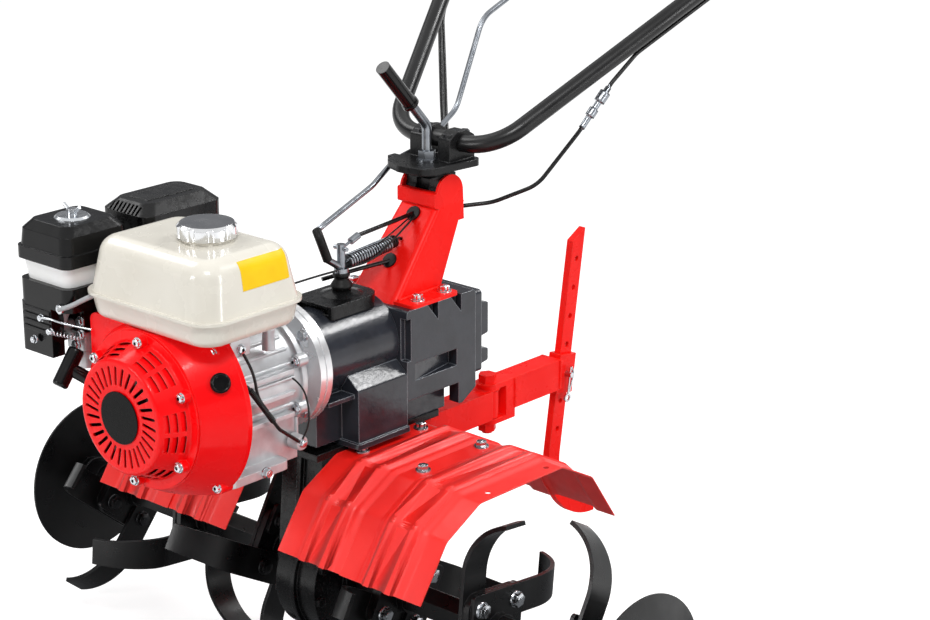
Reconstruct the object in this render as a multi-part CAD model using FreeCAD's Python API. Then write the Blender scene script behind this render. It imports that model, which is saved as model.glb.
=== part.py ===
# Walk-behind rotary tiller: petrol engine, clutch housing, gearbox, tine rotor, fenders,
# adjustable handlebar and a swinging rear drawbar that carries a depth bar.
# Millimetres. +X is the machine's left side, -Y is forward, +Z is up.
# Sub-parts are modelled about the rotor axle, then moved so that the row's origin lies on the
# floor below the middle of the machine.
import FreeCAD, Part
import math
import os

V = FreeCAD.Vector

# ---------------------------------------------------------------- driving dimensions
MIDDLE_Y = 215.741          # middle of the machine's length, behind the axle
AXLE_HEIGHT = 175.46

# standard hardware
M6_ACROSS = 10.0
M6_HEAD = 4.0
M8_ACROSS = 13.0
M8_HEAD = 6.0
M12_ACROSS = 18.0
M12_HEAD = 7.5
M12_NUT = 13.0
M12_THREAD_SHOWN = 3.0     # thread end standing out of the nut
M16_ACROSS = 24.0
WASHER_THICK = 2.0
BOSS_R = 9.0

# crankcase
CRANK_Z = 340.0             # crankshaft height above the axle
ENGINE_BASE_Z = 234.0       # underside of the engine's foot
ENGINE_FOOT_HALF = 92.0
ENGINE_FOOT_THICK = 12.0
ENGINE_FOOT_Y0 = -288.0
ENGINE_FOOT_Y1 = -183.0
CASE_R = 80.0
CASE_Y0 = -290.0            # front face of the crankcase
PTO_Y = -141.0              # rear face of the crankcase
SUMP_HALF = 70.0
SUMP_INSET = 8.0
BARREL_LENGTH = 84.0
NOSE_R = 62.0
CASE_RIB_Z = (300.0, 330.0, 360.0)
CASE_RIB_DEEP = 4.0
CASE_RIB_THICK = 6.0
CASE_RIB_Y0 = -282.0
CASE_RIB_Y1 = -165.0
COVER_THICK = 8.0
COVER_LIP = 5.0
COVER_BOLTS = 8
CYLINDER_LEAN = 25.0        # degrees above level, towards -X
CYLINDER_HALF = 52.0
CYLINDER_REACH = 150.0      # crank axis to the head gasket
CYLINDER_Y = -232.0
FIN_COUNT = 7
FIN_THICK = 2.5
FIN_PITCH = 9.0
FIN_START = 4.0
FIN_DEEP = 9.0
HEAD_DEPTH = 32.0
HEAD_RIM = 6.0
HEAD_INSET = 4.0
VALVE_COVER_DEPTH = 24.0

# fan shroud and starter
SHROUD_FRONT_Y = -351.0
SHROUD_RIM_Y = -297.0
SHROUD_R0 = 107.0           # flared drum at its front
SHROUD_R1 = 137.0           # flared drum at its rear
SHROUD_LEFT = -112.0
SHROUD_BOTTOM = 226.0
SHROUD_TOP = 446.0
SHROUD_WALL = 2.5
SHROUD_ROUND = 12.0
COWL_STEP = 10.0
SHROUD_LUGS = ((89.0, 426.0), (88.0, 243.0))
LUG_LENGTH = 12.0
RECOIL_FRONT_Y = -391.0
RECOIL_R0 = 93.0            # at its base
RECOIL_R1 = 76.0            # at its front
RECOIL_WALL = 2.5
RECOIL_ROUND = 6.0
RECOIL_FLANGE = 3.0
RECOIL_RIM = 12.5
BADGE_R = 35.0
BADGE_THICK = 2.0
SLOT_COUNT = 30
SLOT_R0 = 42.0
SLOT_R1 = 68.0
SLOT_WIDTH = 4.5
SLOT_SLANT = 8.0            # degrees from the radius
LEG_COUNT = 6
LEG_START = 25.0            # degrees from level
LEG_R = 96.0
LEG_SEAT = 13.0
LEG_POCKET_R = 8.0
ROW_COUNT = 3               # rows of curved slots in the cover's flank
ROW_R = 78.5
ROW_PITCH = 4.6
ROW_WIDTH = 2.8
ROW_SPAN = 19.0
ROW_GAP = 2.0
SWITCH_ANGLE = 26.0
SWITCH_Y = -320.0
SWITCH_R = 13.0
SWITCH_PROUD = 5.0
GUIDE_ROOT = (-343.0, 350.0)
GUIDE_REACH = (-18.0, -18.0, 16.0)
GUIDE_R = 9.0
GRIP_LEAN = (0.0, -31.0, -41.0)
STARTER_GRIP_LENGTH = 55.0
STARTER_GRIP_R = 11.0

# fuel tank
TANK_X0 = -112.0
TANK_X1 = 137.0
TANK_Y0 = -362.0
TANK_Y1 = -177.0
TANK_TRAY_DEEP = 34.0
TANK_DEEP = 108.0
TANK_BOTTOM = SHROUD_TOP
TANK_SEAM = TANK_BOTTOM + TANK_TRAY_DEEP
TANK_TOP = TANK_BOTTOM + TANK_DEEP
TANK_WALL = 1.5
TANK_TRAY_INSET = 10.0
TANK_LIP = 5.0
TANK_LIP_THICK = 4.0
TANK_TOP_INSET = 17.0
TANK_CORNER = 32.0
TANK_TRAY_ROUND = 12.0
TANK_TOP_ROUND = 26.0
NECK_HEIGHT = 5.0
NECK_INSET = 6.0
CAP_X = 30.0
CAP_Y = -260.0
CAP_R = 39.0
CAP_HEIGHT = 18.0
CAP_CHAMFER = 4.0
CAP_FLUTES = 10
FLUTE_R = 6.0

# air cleaner, carburettor and muffler
CLEANER_X0 = -224.0
CLEANER_X1 = -117.0
CLEANER_Y0 = -372.0
CLEANER_Y1 = -258.0
CLEANER_CORNER = 14.0
CLEANER_BAND_Z = 477.0
CLEANER_COVER_Z = 505.0
CLEANER_TOP_Z = 557.0
CLEANER_TRAY_DEEP = 32.0
CLEANER_TRAY_INSET = 2.0
CLEANER_BAND_INSET = 5.0
CLEANER_SKIRT = 17.0
CLEANER_STEP = 3.0
CLEANER_SHOULDER = 12.0
CLEANER_DISC_R = 24.0
CLEANER_DISC_THICK = 3.0
HEAD_CLEARANCE = 2.0
HEAD_RELIEF = 24.0
CHEEK_ROUND = 10.0
CHEEK_WIDTH = 66.0
CHEEK_WALL = 20.0
CHEEK_Z = 378.0
CHEEK_RIBS = 4
CHEEK_RIB_PITCH = 9.0
CHEEK_RIB_DEEP = 2.0
WING_NUT_R = 7.0
WING_NUT_HIGH = 8.0
WING_REACH = 16.0
WING_R = 2.5
CARB_X = -165.0
CARB_HALF = 24.0
CARB_Y0 = -330.0
CARB_TOP = 405.0
CARB_BOTTOM = 378.0
CARB_STEP = 4.0
BOWL_DEPTH = 26.0
BOWL_R = 19.0
PORT_R = 12.0
CHOKE_BARS = (((-154.0, -345.0, 439.0), (-176.0, -345.0, 398.0), 5.0),
              ((-190.0, -341.0, 418.0), (-150.0, -341.0, 404.0), 4.0))
CHOKE_PIVOT = (-165.0, -347.0, 415.0)
CHOKE_PIVOT_R = 7.0
MUFFLER_X0 = -212.0
MUFFLER_X1 = -118.0
MUFFLER_Y0 = -235.0
MUFFLER_Y1 = -95.0
MUFFLER_Z0 = 468.0
MUFFLER_Z1 = 560.0
MUFFLER_WALL = 2.0
PIPE_PLACE = (-140.0, -205.0)
PIPE_R = 12.0
GUARD_GAP = 5.0
GUARD_WALL = 1.5
GUARD_CORNER = 17.0
GUARD_RISE = 18.0
GUARD_SHOULDER = 14.0
GUARD_SLOTS = 8
TAB_HALF = 6.0
ENGINE_LEAD = ((97.0, -289.8, 372.0), (97.0, -262.0, 372.0, 12.0), (97.0, -206.0, 296.0, 30.0),
               (90.0, -160.0, 262.0))
LEAD_R = 2.5

# transmission
ADAPTER_R = 87.0
ADAPTER_THICK = 22.0
ADAPTER_Y1 = -96.0
CLUTCH_R = 62.0
RIM_THICK = 8.0
RIM_INSET = 10.0
BLOCK_Y0 = -39.0
BLOCK_SHOULDER = 42.0
BLOCK_SLOPE = 17.0
WEB_INSET = 8.0
WEB_THICK = 6.0
BELLY_HALF = 45.0
LEDGE_THICK = 8.0
LEDGE_PROUD = 4.0
GEARBOX_HALF = 78.0
GEARBOX_Y0 = 58.0
GEARBOX_Y1 = 200.0
GEARBOX_BOTTOM = 257.0
GEARBOX_TOP = 388.0
GEARBOX_FOOT_HALF = 50.0
GEARBOX_LEG_Y0 = 164.0
GEARBOX_LEG_Z = 225.0
LEG_TOE = 8.0
LEG_BEVEL = 17.0
LEG_WALL = 18.0
COVER_INSET = 8.0
COVER_STEP = 22.0
LUG_INSET = 18.0
LUG_Y1 = 247.0
LUG_HEIGHTS = ((262.0, 290.0), (304.0, 360.0))
POCKET_Y0 = 73.0
POCKET_Y1 = 160.0
POCKET_Z0 = 284.0
POCKET_Z1 = 309.0
POCKET_DEPTH = 16.0
NOTCH_Y = (100.0, 148.0)
NOTCH_LENGTH = 22.0
NOTCH_DROP = 26.0
NOTCH_DEPTH = 12.0
FRONT_RELIEF = 8.0
CASE_HALF = 38.0            # half thickness of the lower gear case
CASE_ROUND_R = 92.0         # round lower end of the gear case
CASE_PLATE_Z = 214.0        # top of the lower gear case
CASE_PLATE_THICK = 10.0
CASE_PLATE_HALF = 52.0
CASE_PLATE_Y0 = -95.0
CASE_PLATE_Y1 = 150.0
CASE_TAPER = 25.0
CASE_BOSS = 8.0
CASE_BOSS_R = 36.0
CASE_FLANGE = 7.0
CASE_BOLTS = 8
CASE_BOLT_START = 155.0
CASE_BOLT_STEP = 33.0
SHAFT_R = 17.0
SHAFT_RUNNING = 0.05        # running clearance of the rotor shaft

# tine rotor
ROTOR_HALF = 542.0          # axle middle to a side disc
SHAFT_END = 6.0
DISC_R = 121.5
DISC_THICK = 3.0
DISC_DISH = 14.0
DISC_HUB = 30.0
HUB_R = 24.0
HUB_HALF = 22.0
SPACER_ACROSS = 40.0
SPACER_GAP = 4.0
FLANGE_HALF = 56.0
FLANGE_THICK = 10.0
INNER_STATION = CASE_HALF + 82.0
OUTER_STATION = ROTOR_HALF - 92.0
FLANGE_STATIONS = (INNER_STATION, (INNER_STATION + OUTER_STATION) / 2, OUTER_STATION)
TINE_TURN_LEFT = (72.463, 96.0, 72.463)     # direction of each station's first tine tip, in degrees
TINE_TURN_RIGHT = (72.463, 96.0, 62.0)      # the last right-hand set is a part turn off the floor
TINE_SIDE_LEFT = (-1, 1, -1)                # side to which each station's first tine is bent
TINE_SIDE_RIGHT = (1, 1, -1)
TINE_OFFSET = 35.0          # tine centre line to the axle
TINE_WIDTH = 45.0
TINE_THICK = 6.0
TINE_TAIL = 52.0            # tine behind the axle
TINE_BEND_START = 82.0
TINE_REACH = 168.0          # straight distance from axle to tip along the tine
TINE_SWEEP = 66.0           # sideways reach of the tip
TINE_TIP_WIDTH = 38.0
TINE_TIP_BACK = 3.5
BOLT_R = 6.0

# fenders
FENDER_THICK = 2.0
FENDER_MIDDLE_Y = 26.0
FENDER_EDGE_HALF = 196.0
FENDER_EDGE_Z = 100.0
FENDER_BEND_HALF = 148.0
FENDER_BEND_Z = 170.0
FENDER_BEND_R = 20.0
FENDER_TOP_HALF = 84.0
FENDER_TOP_Z = 204.0
FENDER_INNER_X0 = 52.0
FENDER_INNER_X1 = 202.0
FENDER_OUTER_X0 = 170.0
FENDER_OUTER_X1 = 316.0
FENDER_BOLT_X = (70.0, 184.0)
FENDER_FREE_X = 300.0
FENDER_BOLT_Y = (-25.0, 93.0)
FENDER_HOLE_R = 4.5
FENDER_INNER_RIBS = (104.0, 140.0)
FENDER_OUTER_RIBS = (224.0, 262.0)
RIB_HALF = 9.0
RIB_HEIGHT = 1.5
STAY_WIDTH = 24.0
STAY_THICK = 5.0
STAY_END = 14.0
STAY_TAB = 40.0

# column
COLUMN_BASE_HALF = 45.0
COLUMN_TOP_HALF = 36.0
COLUMN_WALL = 4.0
COLUMN_CORNER = 10.0
COLUMN_LIP_Z = 506.0
COLUMN_FRONT_BASE = 67.0
COLUMN_FRONT_TOP = 167.0
COLUMN_REAR_BASE = 160.0
COLUMN_REAR_TOP = 222.0
LIP_PROUD = 6.0
LIP_TOP_Z = 527.0
COLUMN_FOOT_Y0 = 70.0
COLUMN_FOOT_Y1 = 166.0
COLUMN_FOOT_WIDTH = 33.0
COLUMN_FOOT_THICK = 5.0
COLUMN_BOLT_Y = (97.0, 152.0)
HOOK_Z = 462.0
HOOK_HOLE_R = 2.6
GROMMET_Z = (435.0, 493.0)
GROMMET_R = 11.0
GROMMET_LIP = 3.0
PIVOT_Y = 193.0
PIVOT_Z = 522.0
EAR_R = 27.0
EAR_SKIN = 1.0
HEAD_GAP = 1.0
PIVOT_BOLT_R = 6.0
PIVOT_RUNNING = 0.05

# handlebar
HEAD_BARREL_R = 20.0
HEAD_NECK_HALF = 17.0
HEAD_TOP_Z = 556.0
HEAD_DISC = 7.0
HEAD_TOP_R = 30.0
HEAD_WIDE = 45.0
HEAD_NOSE = 46.0
SWIVEL_Y = 184.0            # upright swivel axis of the handlebar
STUD_R = 6.0
TURNTABLE_GAP = 0.5
TURNTABLE_THICK = 10.0
TUBE_R = 12.5
TUBE_WALL = 2.0
TUBE_BEND_R = 75.0
LOOP_Y = 216.0
LOOP_Z = 591.0
LOOP_HALF = 95.0
SADDLE_X0 = 16.0
SADDLE_X1 = 38.0
SADDLE_HALF_Y = 26.0
SADDLE_CAP = 5.0
EYE_PLACE = (-51.0, 172.0, 559.5)
EYE_HALF = 7.0
EYE_CLEARANCE = 0.6
ARM_KNEE = (268.0, 585.0, 843.0)
ARM_END = (290.0, 815.0, 905.0)
ARM_BEND_R = 150.0
GRIP_R = 17.0
GRIP_LENGTH = 125.0
GRIP_CAP = 5.0
CLAMP_ROD_R = 7.0
CLAMP_FIT = 0.3
CLAMP_WASHER_R = 15.0
CLAMP_ACROSS = 22.0
CLAMP_NUT = 12.0
STUD_TOP_Z = HEAD_TOP_Z + TURNTABLE_GAP + TURNTABLE_THICK + WASHER_THICK + CLAMP_NUT
CLAMP_GRIP_R = 10.5
CLAMP_GRIP_LENGTH = 80.0
CLAMP_KNEE = (0.0, SWIVEL_Y, 616.0, 20.0)
CLAMP_END = (0.0, 98.0, 711.0)

# shift gear and control cables
TOWER_HALF = 38.0
TOWER_Y0 = -48.0
TOWER_Y1 = 52.0
TOWER_SINK = 10.0
TOWER_Z = 411.0
DOME_HEIGHT = 5.0
BOOT_Y = 10.0
BOOT_R0 = 14.0
BOOT_R1 = 9.0
BOOT_TOP_Z = 441.0
POST_R = 6.0
POST_TOP_Z = 481.0
ARM_R = 5.0
LINK_LOW = (0.0, -16.0, 464.0)
LINK_KNEE = (0.0, -30.0, 497.0, 14.0)
LINK_R = 6.5
SHIFT_ROD_R = 4.0
SHIFT_ROUTE = ((-12.0, -24.0, 505.0), (-24.0, 98.0, 541.0, 60.0), EYE_PLACE + (120.0,),
               (-50.0, 232.0, 570.0, 60.0), (-49.0, 300.0, 611.0, 40.0),
               (-49.0, 357.0, 736.0, 45.0), (-49.0, 548.0, 808.0))
KNOB_R = 15.0
SPRING_Z0 = 453.0
SPRING_R = 9.0
SPRING_WIRE = 2.0
SPRING_PITCH = 4.2
SPRING_STANDOFF = 12.0
CABLE_R = 3.0
CABLE_BEND_R = 60.0
CABLE_PITCH = 7.0
CABLE_SLACK = 0.8
UPPER_CABLE = ((0.0, 44.0, 486.0), (0.0, 156.0, 494.0))
ENGINE_CABLE = ((0.0, 107.0, 435.0), (-12.0, 60.0, 432.0, 40.0), (-34.0, 6.0, 424.0))
CLUTCH_TIE = 0.52           # share of the arm's run where the cable leaves it
CLUTCH_DROP = ((176.0, 377.0, 671.0, 40.0), (160.0, 327.0, 608.0, 60.0), (118.0, 286.0, 530.0, 60.0),
               (60.0, 256.0, 500.0, 60.0), (12.0, 214.0, 492.0))
ADJUSTER_STEPS = ((0.1, 0.95, 4.5), (0.2, 0.4, 8.0), (0.55, 0.7, 7.0))
CONTROL_TIE = 0.78
CONTROL_DROPS = (((-205.0, 435.0, 712.0, 80.0), (-150.0, 377.0, 655.0, 80.0), (-105.0, 330.0, 609.0, 80.0),
                  (-60.0, 285.0, 560.0, 80.0), (-25.0, 236.0, 512.0, 40.0), (-10.0, 220.0, 500.0)),
                 ((-208.0, 445.0, 702.0, 80.0), (-158.0, 394.0, 644.0, 80.0), (-108.0, 342.0, 594.0, 80.0),
                  (-58.0, 292.0, 540.0, 80.0), (-27.0, 240.0, 496.0, 40.0), (-18.0, 222.0, 484.0)))
CLIP_LENGTH = 16.0
CLIP_WALL = 3.0
LEVER_GAP = 6.0
LEVER_R = 4.5
LEVER_DROP = 44.0

# rear hitch
HITCH_Y = 314.0             # vertical pivot of the drawbar
HITCH_R = 17.0
HITCH_PIN_R = 8.0
HITCH_RUNNING = 0.05
BRACKET_HALF = 20.0
BRACKET_WALL = 5.0
BRACKET_Y0 = CASE_PLATE_Y1 - CASE_TAPER + CASE_FLANGE + 1.0
BRACKET_Z0 = 145.0
BRACKET_Z1 = 190.0
HANGER_LENGTH = 30.0
YOKE_THICK = 8.0
YOKE_LOWER = 8.0
YOKE_GAP = 1.0
YOKE_CLEARANCE = 6.0
BLOCK_LENGTH = 20.0
BEAM_RISE = 14.0
DRAWBAR_HALF = 18.0
DRAWBAR_WALL = 5.0
BAR_X = 12.0                # thickness of the depth bar
BAR_Y = 26.0                # width of the depth bar
BAR_FIT = 0.5
BAR_LEAN = 8.8              # degrees, top towards the rear
BAR_MID_Y = 485.8           # depth bar at the middle of the socket
SOCKET_Z0 = 138.0
SOCKET_Z1 = 200.0
SOCKET_WALL = 5.0
SOCKET_REACH = 40.0
DRAWBAR_Y1 = BAR_MID_Y - BAR_Y / 2 - SOCKET_WALL - 4.0
BAR_UP = 228.0
BAR_DOWN = 127.0
BAR_SLANT = 20.0
BAR_FOOT_R = 100.0
BAR_FOOT_TURN = 99.0
BAR_HOLE_R = 4.5
BAR_HOLE_PITCH = 45.0
PIN_FIT = 0.3
PIN_HEAD = 5.0
PIN_END = 12.0
HAIRPIN_WIRE = 1.5
HAIRPIN_UP = 12.0
HAIRPIN_DOWN = 30.0
HAIRPIN_EYE = 7.0


# ---------------------------------------------------------------- helpers
def box(x0, x1, y0, y1, z0, z1):
    return Part.makeBox(x1 - x0, y1 - y0, z1 - z0, V(x0, y0, z0))


def rod(start, end, radius):
    a = V(*start)
    b = V(*end)
    return Part.makeCylinder(radius, (b - a).Length, a, b - a)


def ring(start, end, outer, inner):
    return rod(start, end, outer).cut(rod(start, end, inner))


def corner_wire(points, closed=True):
    """A wire through the points; a point's fourth value is its corner radius."""
    places = [V(p[0], p[1], p[2]) for p in points]
    radii = [p[3] if len(p) > 3 else 0.0 for p in points]
    count = len(places)
    edges = []
    last = None
    first = None
    for i in range(count):
        here = places[i]
        inner = closed or 0 < i < count - 1
        if inner and radii[i] > 0:
            back = (places[i - 1] - here).normalize()
            ahead = (places[(i + 1) % count] - here).normalize()
            half = back.getAngle(ahead) / 2.0
            reach = radii[i] / math.tan(half)
            start = here + back * reach
            end = here + ahead * reach
            to_centre = (back + ahead).normalize()
            middle = here + to_centre * (radii[i] / math.sin(half) - radii[i])
            if last is not None and (start - last).Length > 1e-6:
                edges.append(Part.LineSegment(last, start).toShape())
            edges.append(Part.Arc(start, middle, end).toShape())
            if first is None:
                first = start
            last = end
        else:
            if last is not None:
                edges.append(Part.LineSegment(last, here).toShape())
            if first is None:
                first = here
            last = here
    if closed and (last - first).Length > 1e-6:
        edges.append(Part.LineSegment(last, first).toShape())
    return Part.Wire(edges)


def plate_x(points, x0, x1):
    """Outline of (y, z, radius) points, extruded along X."""
    wire = corner_wire([(x0, p[0], p[1], p[2] if len(p) > 2 else 0.0) for p in points])
    return Part.Face(wire).extrude(V(x1 - x0, 0, 0))


def plate_y(points, y0, y1):
    """Outline of (x, z, radius) points, extruded along Y."""
    wire = corner_wire([(p[0], y0, p[1], p[2] if len(p) > 2 else 0.0) for p in points])
    return Part.Face(wire).extrude(V(0, y1 - y0, 0))


def plate_z(points, z0, z1):
    """Outline of (x, y, radius) points, extruded along Z."""
    wire = corner_wire([(p[0], p[1], z0, p[2] if len(p) > 2 else 0.0) for p in points])
    return Part.Face(wire).extrude(V(0, 0, z1 - z0))


def rounded_box(x0, x1, y0, y1, z0, z1, radius):
    corners = [(x0, y0, radius), (x1, y0, radius), (x1, y1, radius), (x0, y1, radius)]
    return plate_z(corners, z0, z1)


def swept(points, radius, bore=0.0):
    """A round bar, or a tube when it has a bore, along a path with rounded corners."""
    path = corner_wire(points, closed=False)
    start = V(*points[0][:3])
    along = V(*points[1][:3]) - start
    outer = Part.Wire(Part.makeCircle(radius, start, along))
    solid = path.makePipeShell([outer], True, True)
    if bore > 0:
        inner = Part.Wire(Part.makeCircle(bore, start, along))
        solid = solid.cut(path.makePipeShell([inner], True, True))
    return solid


def union(shapes):
    result = shapes[0]
    for shape in shapes[1:]:
        result = result.fuse(shape)
    return result.removeSplitter()


def mirrored(shape):
    return shape.mirror(V(0, 0, 0), V(1, 0, 0))


def hexagon(place, axis, across, height):
    """A hexagonal head, its base at the place."""
    radius = across / math.sqrt(3.0)
    turns = [k * math.pi / 3 for k in range(7)]
    corners = [V(radius * math.cos(turn), radius * math.sin(turn), 0) for turn in turns]
    head = Part.Face(Part.makePolygon(corners)).extrude(V(0, 0, height))
    head.Placement = FreeCAD.Placement(V(*place), FreeCAD.Rotation(V(0, 0, 1), V(*axis)))
    return head


# ---------------------------------------------------------------- engine
def cylinder_frame():
    lean = math.radians(CYLINDER_LEAN)
    return V(-math.cos(lean), 0, math.sin(lean))


def along_cylinder(shape):
    """Takes a shape modelled up the +Z axis and lays it along the leaning cylinder."""
    shape.Placement = FreeCAD.Placement(
        V(0, CYLINDER_Y, CRANK_Z), FreeCAD.Rotation(V(0, 0, 1), cylinder_frame())
    )
    return shape


def crankcase():
    foot_top = ENGINE_BASE_Z + ENGINE_FOOT_THICK
    body = rod((0, CASE_Y0, CRANK_Z), (0, PTO_Y, CRANK_Z), CASE_R)
    foot = rounded_box(-ENGINE_FOOT_HALF, ENGINE_FOOT_HALF, ENGINE_FOOT_Y0, ENGINE_FOOT_Y1,
                       ENGINE_BASE_Z, foot_top, 10)
    sump = box(-SUMP_HALF, SUMP_HALF, CASE_Y0 + SUMP_INSET, PTO_Y - SUMP_INSET, ENGINE_BASE_Z, CRANK_Z)
    half = CYLINDER_HALF
    barrel = along_cylinder(box(-half, half, -half, half, 0, BARREL_LENGTH))
    nose = rod((0, PTO_Y, CRANK_Z), (0, ADAPTER_Y1 - ADAPTER_THICK, CRANK_Z), NOSE_R)
    parts = [body, foot, sump, barrel, nose]
    for z in CASE_RIB_Z:
        parts.append(box(0, CASE_R + CASE_RIB_DEEP, CASE_RIB_Y0, CASE_RIB_Y1, z, z + CASE_RIB_THICK))
    cover = rod((0, PTO_Y - COVER_THICK, CRANK_Z), (0, PTO_Y, CRANK_Z), CASE_R + COVER_LIP)
    parts.append(cover)
    for k in range(COVER_BOLTS):
        angle = 2 * math.pi * (k + 0.5) / COVER_BOLTS
        reach = CASE_R + COVER_LIP
        x = reach * math.cos(angle)
        z = CRANK_Z + reach * math.sin(angle)
        parts.append(rod((x, PTO_Y - 2 * COVER_THICK, z), (x, PTO_Y, z), BOSS_R))
    front = union(parts)
    return front.cut(box(-CASE_R * 2, CASE_R * 2, CASE_Y0, PTO_Y, ENGINE_BASE_Z - CASE_R, ENGINE_BASE_Z))


def cylinder_block():
    half = CYLINDER_HALF
    core = half - FIN_DEEP
    start = BARREL_LENGTH
    top = CYLINDER_REACH + HEAD_DEPTH
    parts = [box(-core, core, -core, core, start, top)]
    for k in range(FIN_COUNT):
        z = start + FIN_START + k * FIN_PITCH
        parts.append(rounded_box(-half, half, -half, half, z, z + FIN_THICK, 12))
    rim = half - HEAD_INSET
    lid = rim - HEAD_INSET
    parts.append(rounded_box(-rim, rim, -rim, rim, top - HEAD_RIM, top, 10))
    parts.append(rounded_box(-lid, lid, -lid, lid, top, top + VALVE_COVER_DEPTH, 12))
    return along_cylinder(union(parts))


def shroud_form(inset):
    """The fan drum, flaring to the rear, with the flat cowl over the cylinder's root."""
    flare = Part.makeCone(SHROUD_R0 - inset, SHROUD_R1 - inset, SHROUD_RIM_Y - SHROUD_FRONT_Y - inset,
                          V(0, SHROUD_FRONT_Y + inset, CRANK_Z), V(0, 1, 0))
    drum = rod((0, SHROUD_RIM_Y, CRANK_Z), (0, CASE_Y0, CRANK_Z), SHROUD_R1 - inset)
    left = SHROUD_LEFT + inset
    top = SHROUD_TOP - inset
    cowl = plate_y([(left, top, 0), (left, CRANK_Z, SHROUD_ROUND), (0, CRANK_Z - SHROUD_ROUND, 0),
                    (0, top, 0)], SHROUD_FRONT_Y + COWL_STEP + inset, CASE_Y0)
    form = flare.fuse(drum).fuse(cowl)
    reach = SHROUD_R1 + SHROUD_ROUND
    limits = plate_y([(left, top, SHROUD_ROUND), (left, SHROUD_BOTTOM + inset, 0),
                      (reach, SHROUD_BOTTOM + inset, 0), (reach, top, 0)],
                     SHROUD_FRONT_Y, CASE_Y0)
    return form.common(limits)


def fan_shroud():
    shell = shroud_form(0.0).cut(shroud_form(SHROUD_WALL))
    shell = shell.cut(rod((0, SHROUD_FRONT_Y, CRANK_Z), (0, SHROUD_FRONT_Y + SHROUD_WALL, CRANK_Z),
                          RECOIL_R0 - SHROUD_WALL))
    plate = rod((0, CASE_Y0 - SHROUD_WALL, CRANK_Z), (0, CASE_Y0, CRANK_Z), SHROUD_R1)
    plate = plate.cut(rod((0, CASE_Y0 - SHROUD_WALL, CRANK_Z), (0, CASE_Y0, CRANK_Z), CASE_R - BOSS_R))
    parts = [shell, plate.common(shroud_form(0.0))]
    for x, z in SHROUD_LUGS:
        parts.append(rod((x, SHROUD_RIM_Y - LUG_LENGTH, z), (x, CASE_Y0, z), BOSS_R))
        parts.append(hexagon((x, SHROUD_RIM_Y - LUG_LENGTH, z), (0, -1, 0), M6_ACROSS, M6_HEAD))
    return union(parts)


def sector(r0, r1, start, stop, y0, y1):
    """Part of a ring about the crankshaft, between two angles in degrees, extruded along Y."""
    def at(radius, degrees):
        angle = math.radians(degrees)
        return V(radius * math.cos(angle), y0, CRANK_Z + radius * math.sin(angle))

    mid = (start + stop) / 2
    edges = [Part.Arc(at(r0, start), at(r0, mid), at(r0, stop)).toShape(),
             Part.LineSegment(at(r0, stop), at(r1, stop)).toShape(),
             Part.Arc(at(r1, stop), at(r1, mid), at(r1, start)).toShape(),
             Part.LineSegment(at(r1, start), at(r0, start)).toShape()]
    return Part.Face(Part.Wire(edges)).extrude(V(0, y1 - y0, 0))


def recoil_profile():
    """Half section of the starter cover as (radius, y) points, revolved about the crankshaft."""
    front = RECOIL_FRONT_Y
    back = SHROUD_FRONT_Y
    wall = RECOIL_WALL
    rim = RECOIL_R0 + RECOIL_RIM
    return [(0, front, 0, 0), (RECOIL_R1, front, 0, RECOIL_ROUND), (RECOIL_R0, back - RECOIL_FLANGE, 0, 2),
            (rim, back - RECOIL_FLANGE, 0, 0), (rim, back, 0, 0), (RECOIL_R0 - wall, back, 0, 0),
            (RECOIL_R1 - wall, front + wall, 0, 2), (0, front + wall, 0, 0)]


def recoil_cover():
    """Starter cover: a ring of slanted slots, and rows of curved slots between its bolted legs."""
    shell = Part.Face(corner_wire(recoil_profile())).revolve(V(0, 0, 0), V(0, 1, 0), 360)
    shell.translate(V(0, 0, CRANK_Z))
    front = RECOIL_FRONT_Y
    back = SHROUD_FRONT_Y
    cuts = []
    middle = (SLOT_R0 + SLOT_R1) / 2
    half = (SLOT_R1 - SLOT_R0 - SLOT_WIDTH) / 2
    for k in range(SLOT_COUNT):
        slot = box(-half, half, front, front + RECOIL_WALL, -SLOT_WIDTH / 2, SLOT_WIDTH / 2)
        for end in (-half, half):
            slot = slot.fuse(rod((end, front, 0), (end, front + RECOIL_WALL, 0), SLOT_WIDTH / 2))
        slot.rotate(V(0, 0, 0), V(0, 1, 0), SLOT_SLANT)
        slot.translate(V(middle, 0, 0))
        slot.rotate(V(0, 0, 0), V(0, 1, 0), k * 360.0 / SLOT_COUNT)
        slot.translate(V(0, 0, CRANK_Z))
        cuts.append(slot)
    pads = []
    for k in range(LEG_COUNT):
        angle = LEG_START + k * 360.0 / LEG_COUNT
        turn = math.radians(angle)
        x = LEG_R * math.cos(turn)
        z = CRANK_Z + LEG_R * math.sin(turn)
        cuts.append(rod((x, front, z), (x, back - LEG_SEAT, z), LEG_POCKET_R))
        pads.append(rod((x, back - LEG_SEAT, z), (x, back, z), LEG_POCKET_R))
        pads.append(hexagon((x, back - LEG_SEAT, z), (0, -1, 0), M6_ACROSS, M6_HEAD))
        between = angle + 180.0 / LEG_COUNT
        for row in range(ROW_COUNT):
            radius = ROW_R + row * ROW_PITCH
            for start in (-ROW_SPAN, ROW_GAP):
                cuts.append(sector(radius, radius + ROW_WIDTH, between + start,
                                   between + start + ROW_SPAN - ROW_GAP, front, back - RECOIL_FLANGE))
    return union([shell.cut(Part.makeCompound(cuts))] + pads)


def recoil_badge():
    badge = rod((0, RECOIL_FRONT_Y - BADGE_THICK, CRANK_Z), (0, RECOIL_FRONT_Y, CRANK_Z), BADGE_R)
    return badge.makeChamfer(BADGE_THICK / 2, [badge.Edges[0]])


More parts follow.
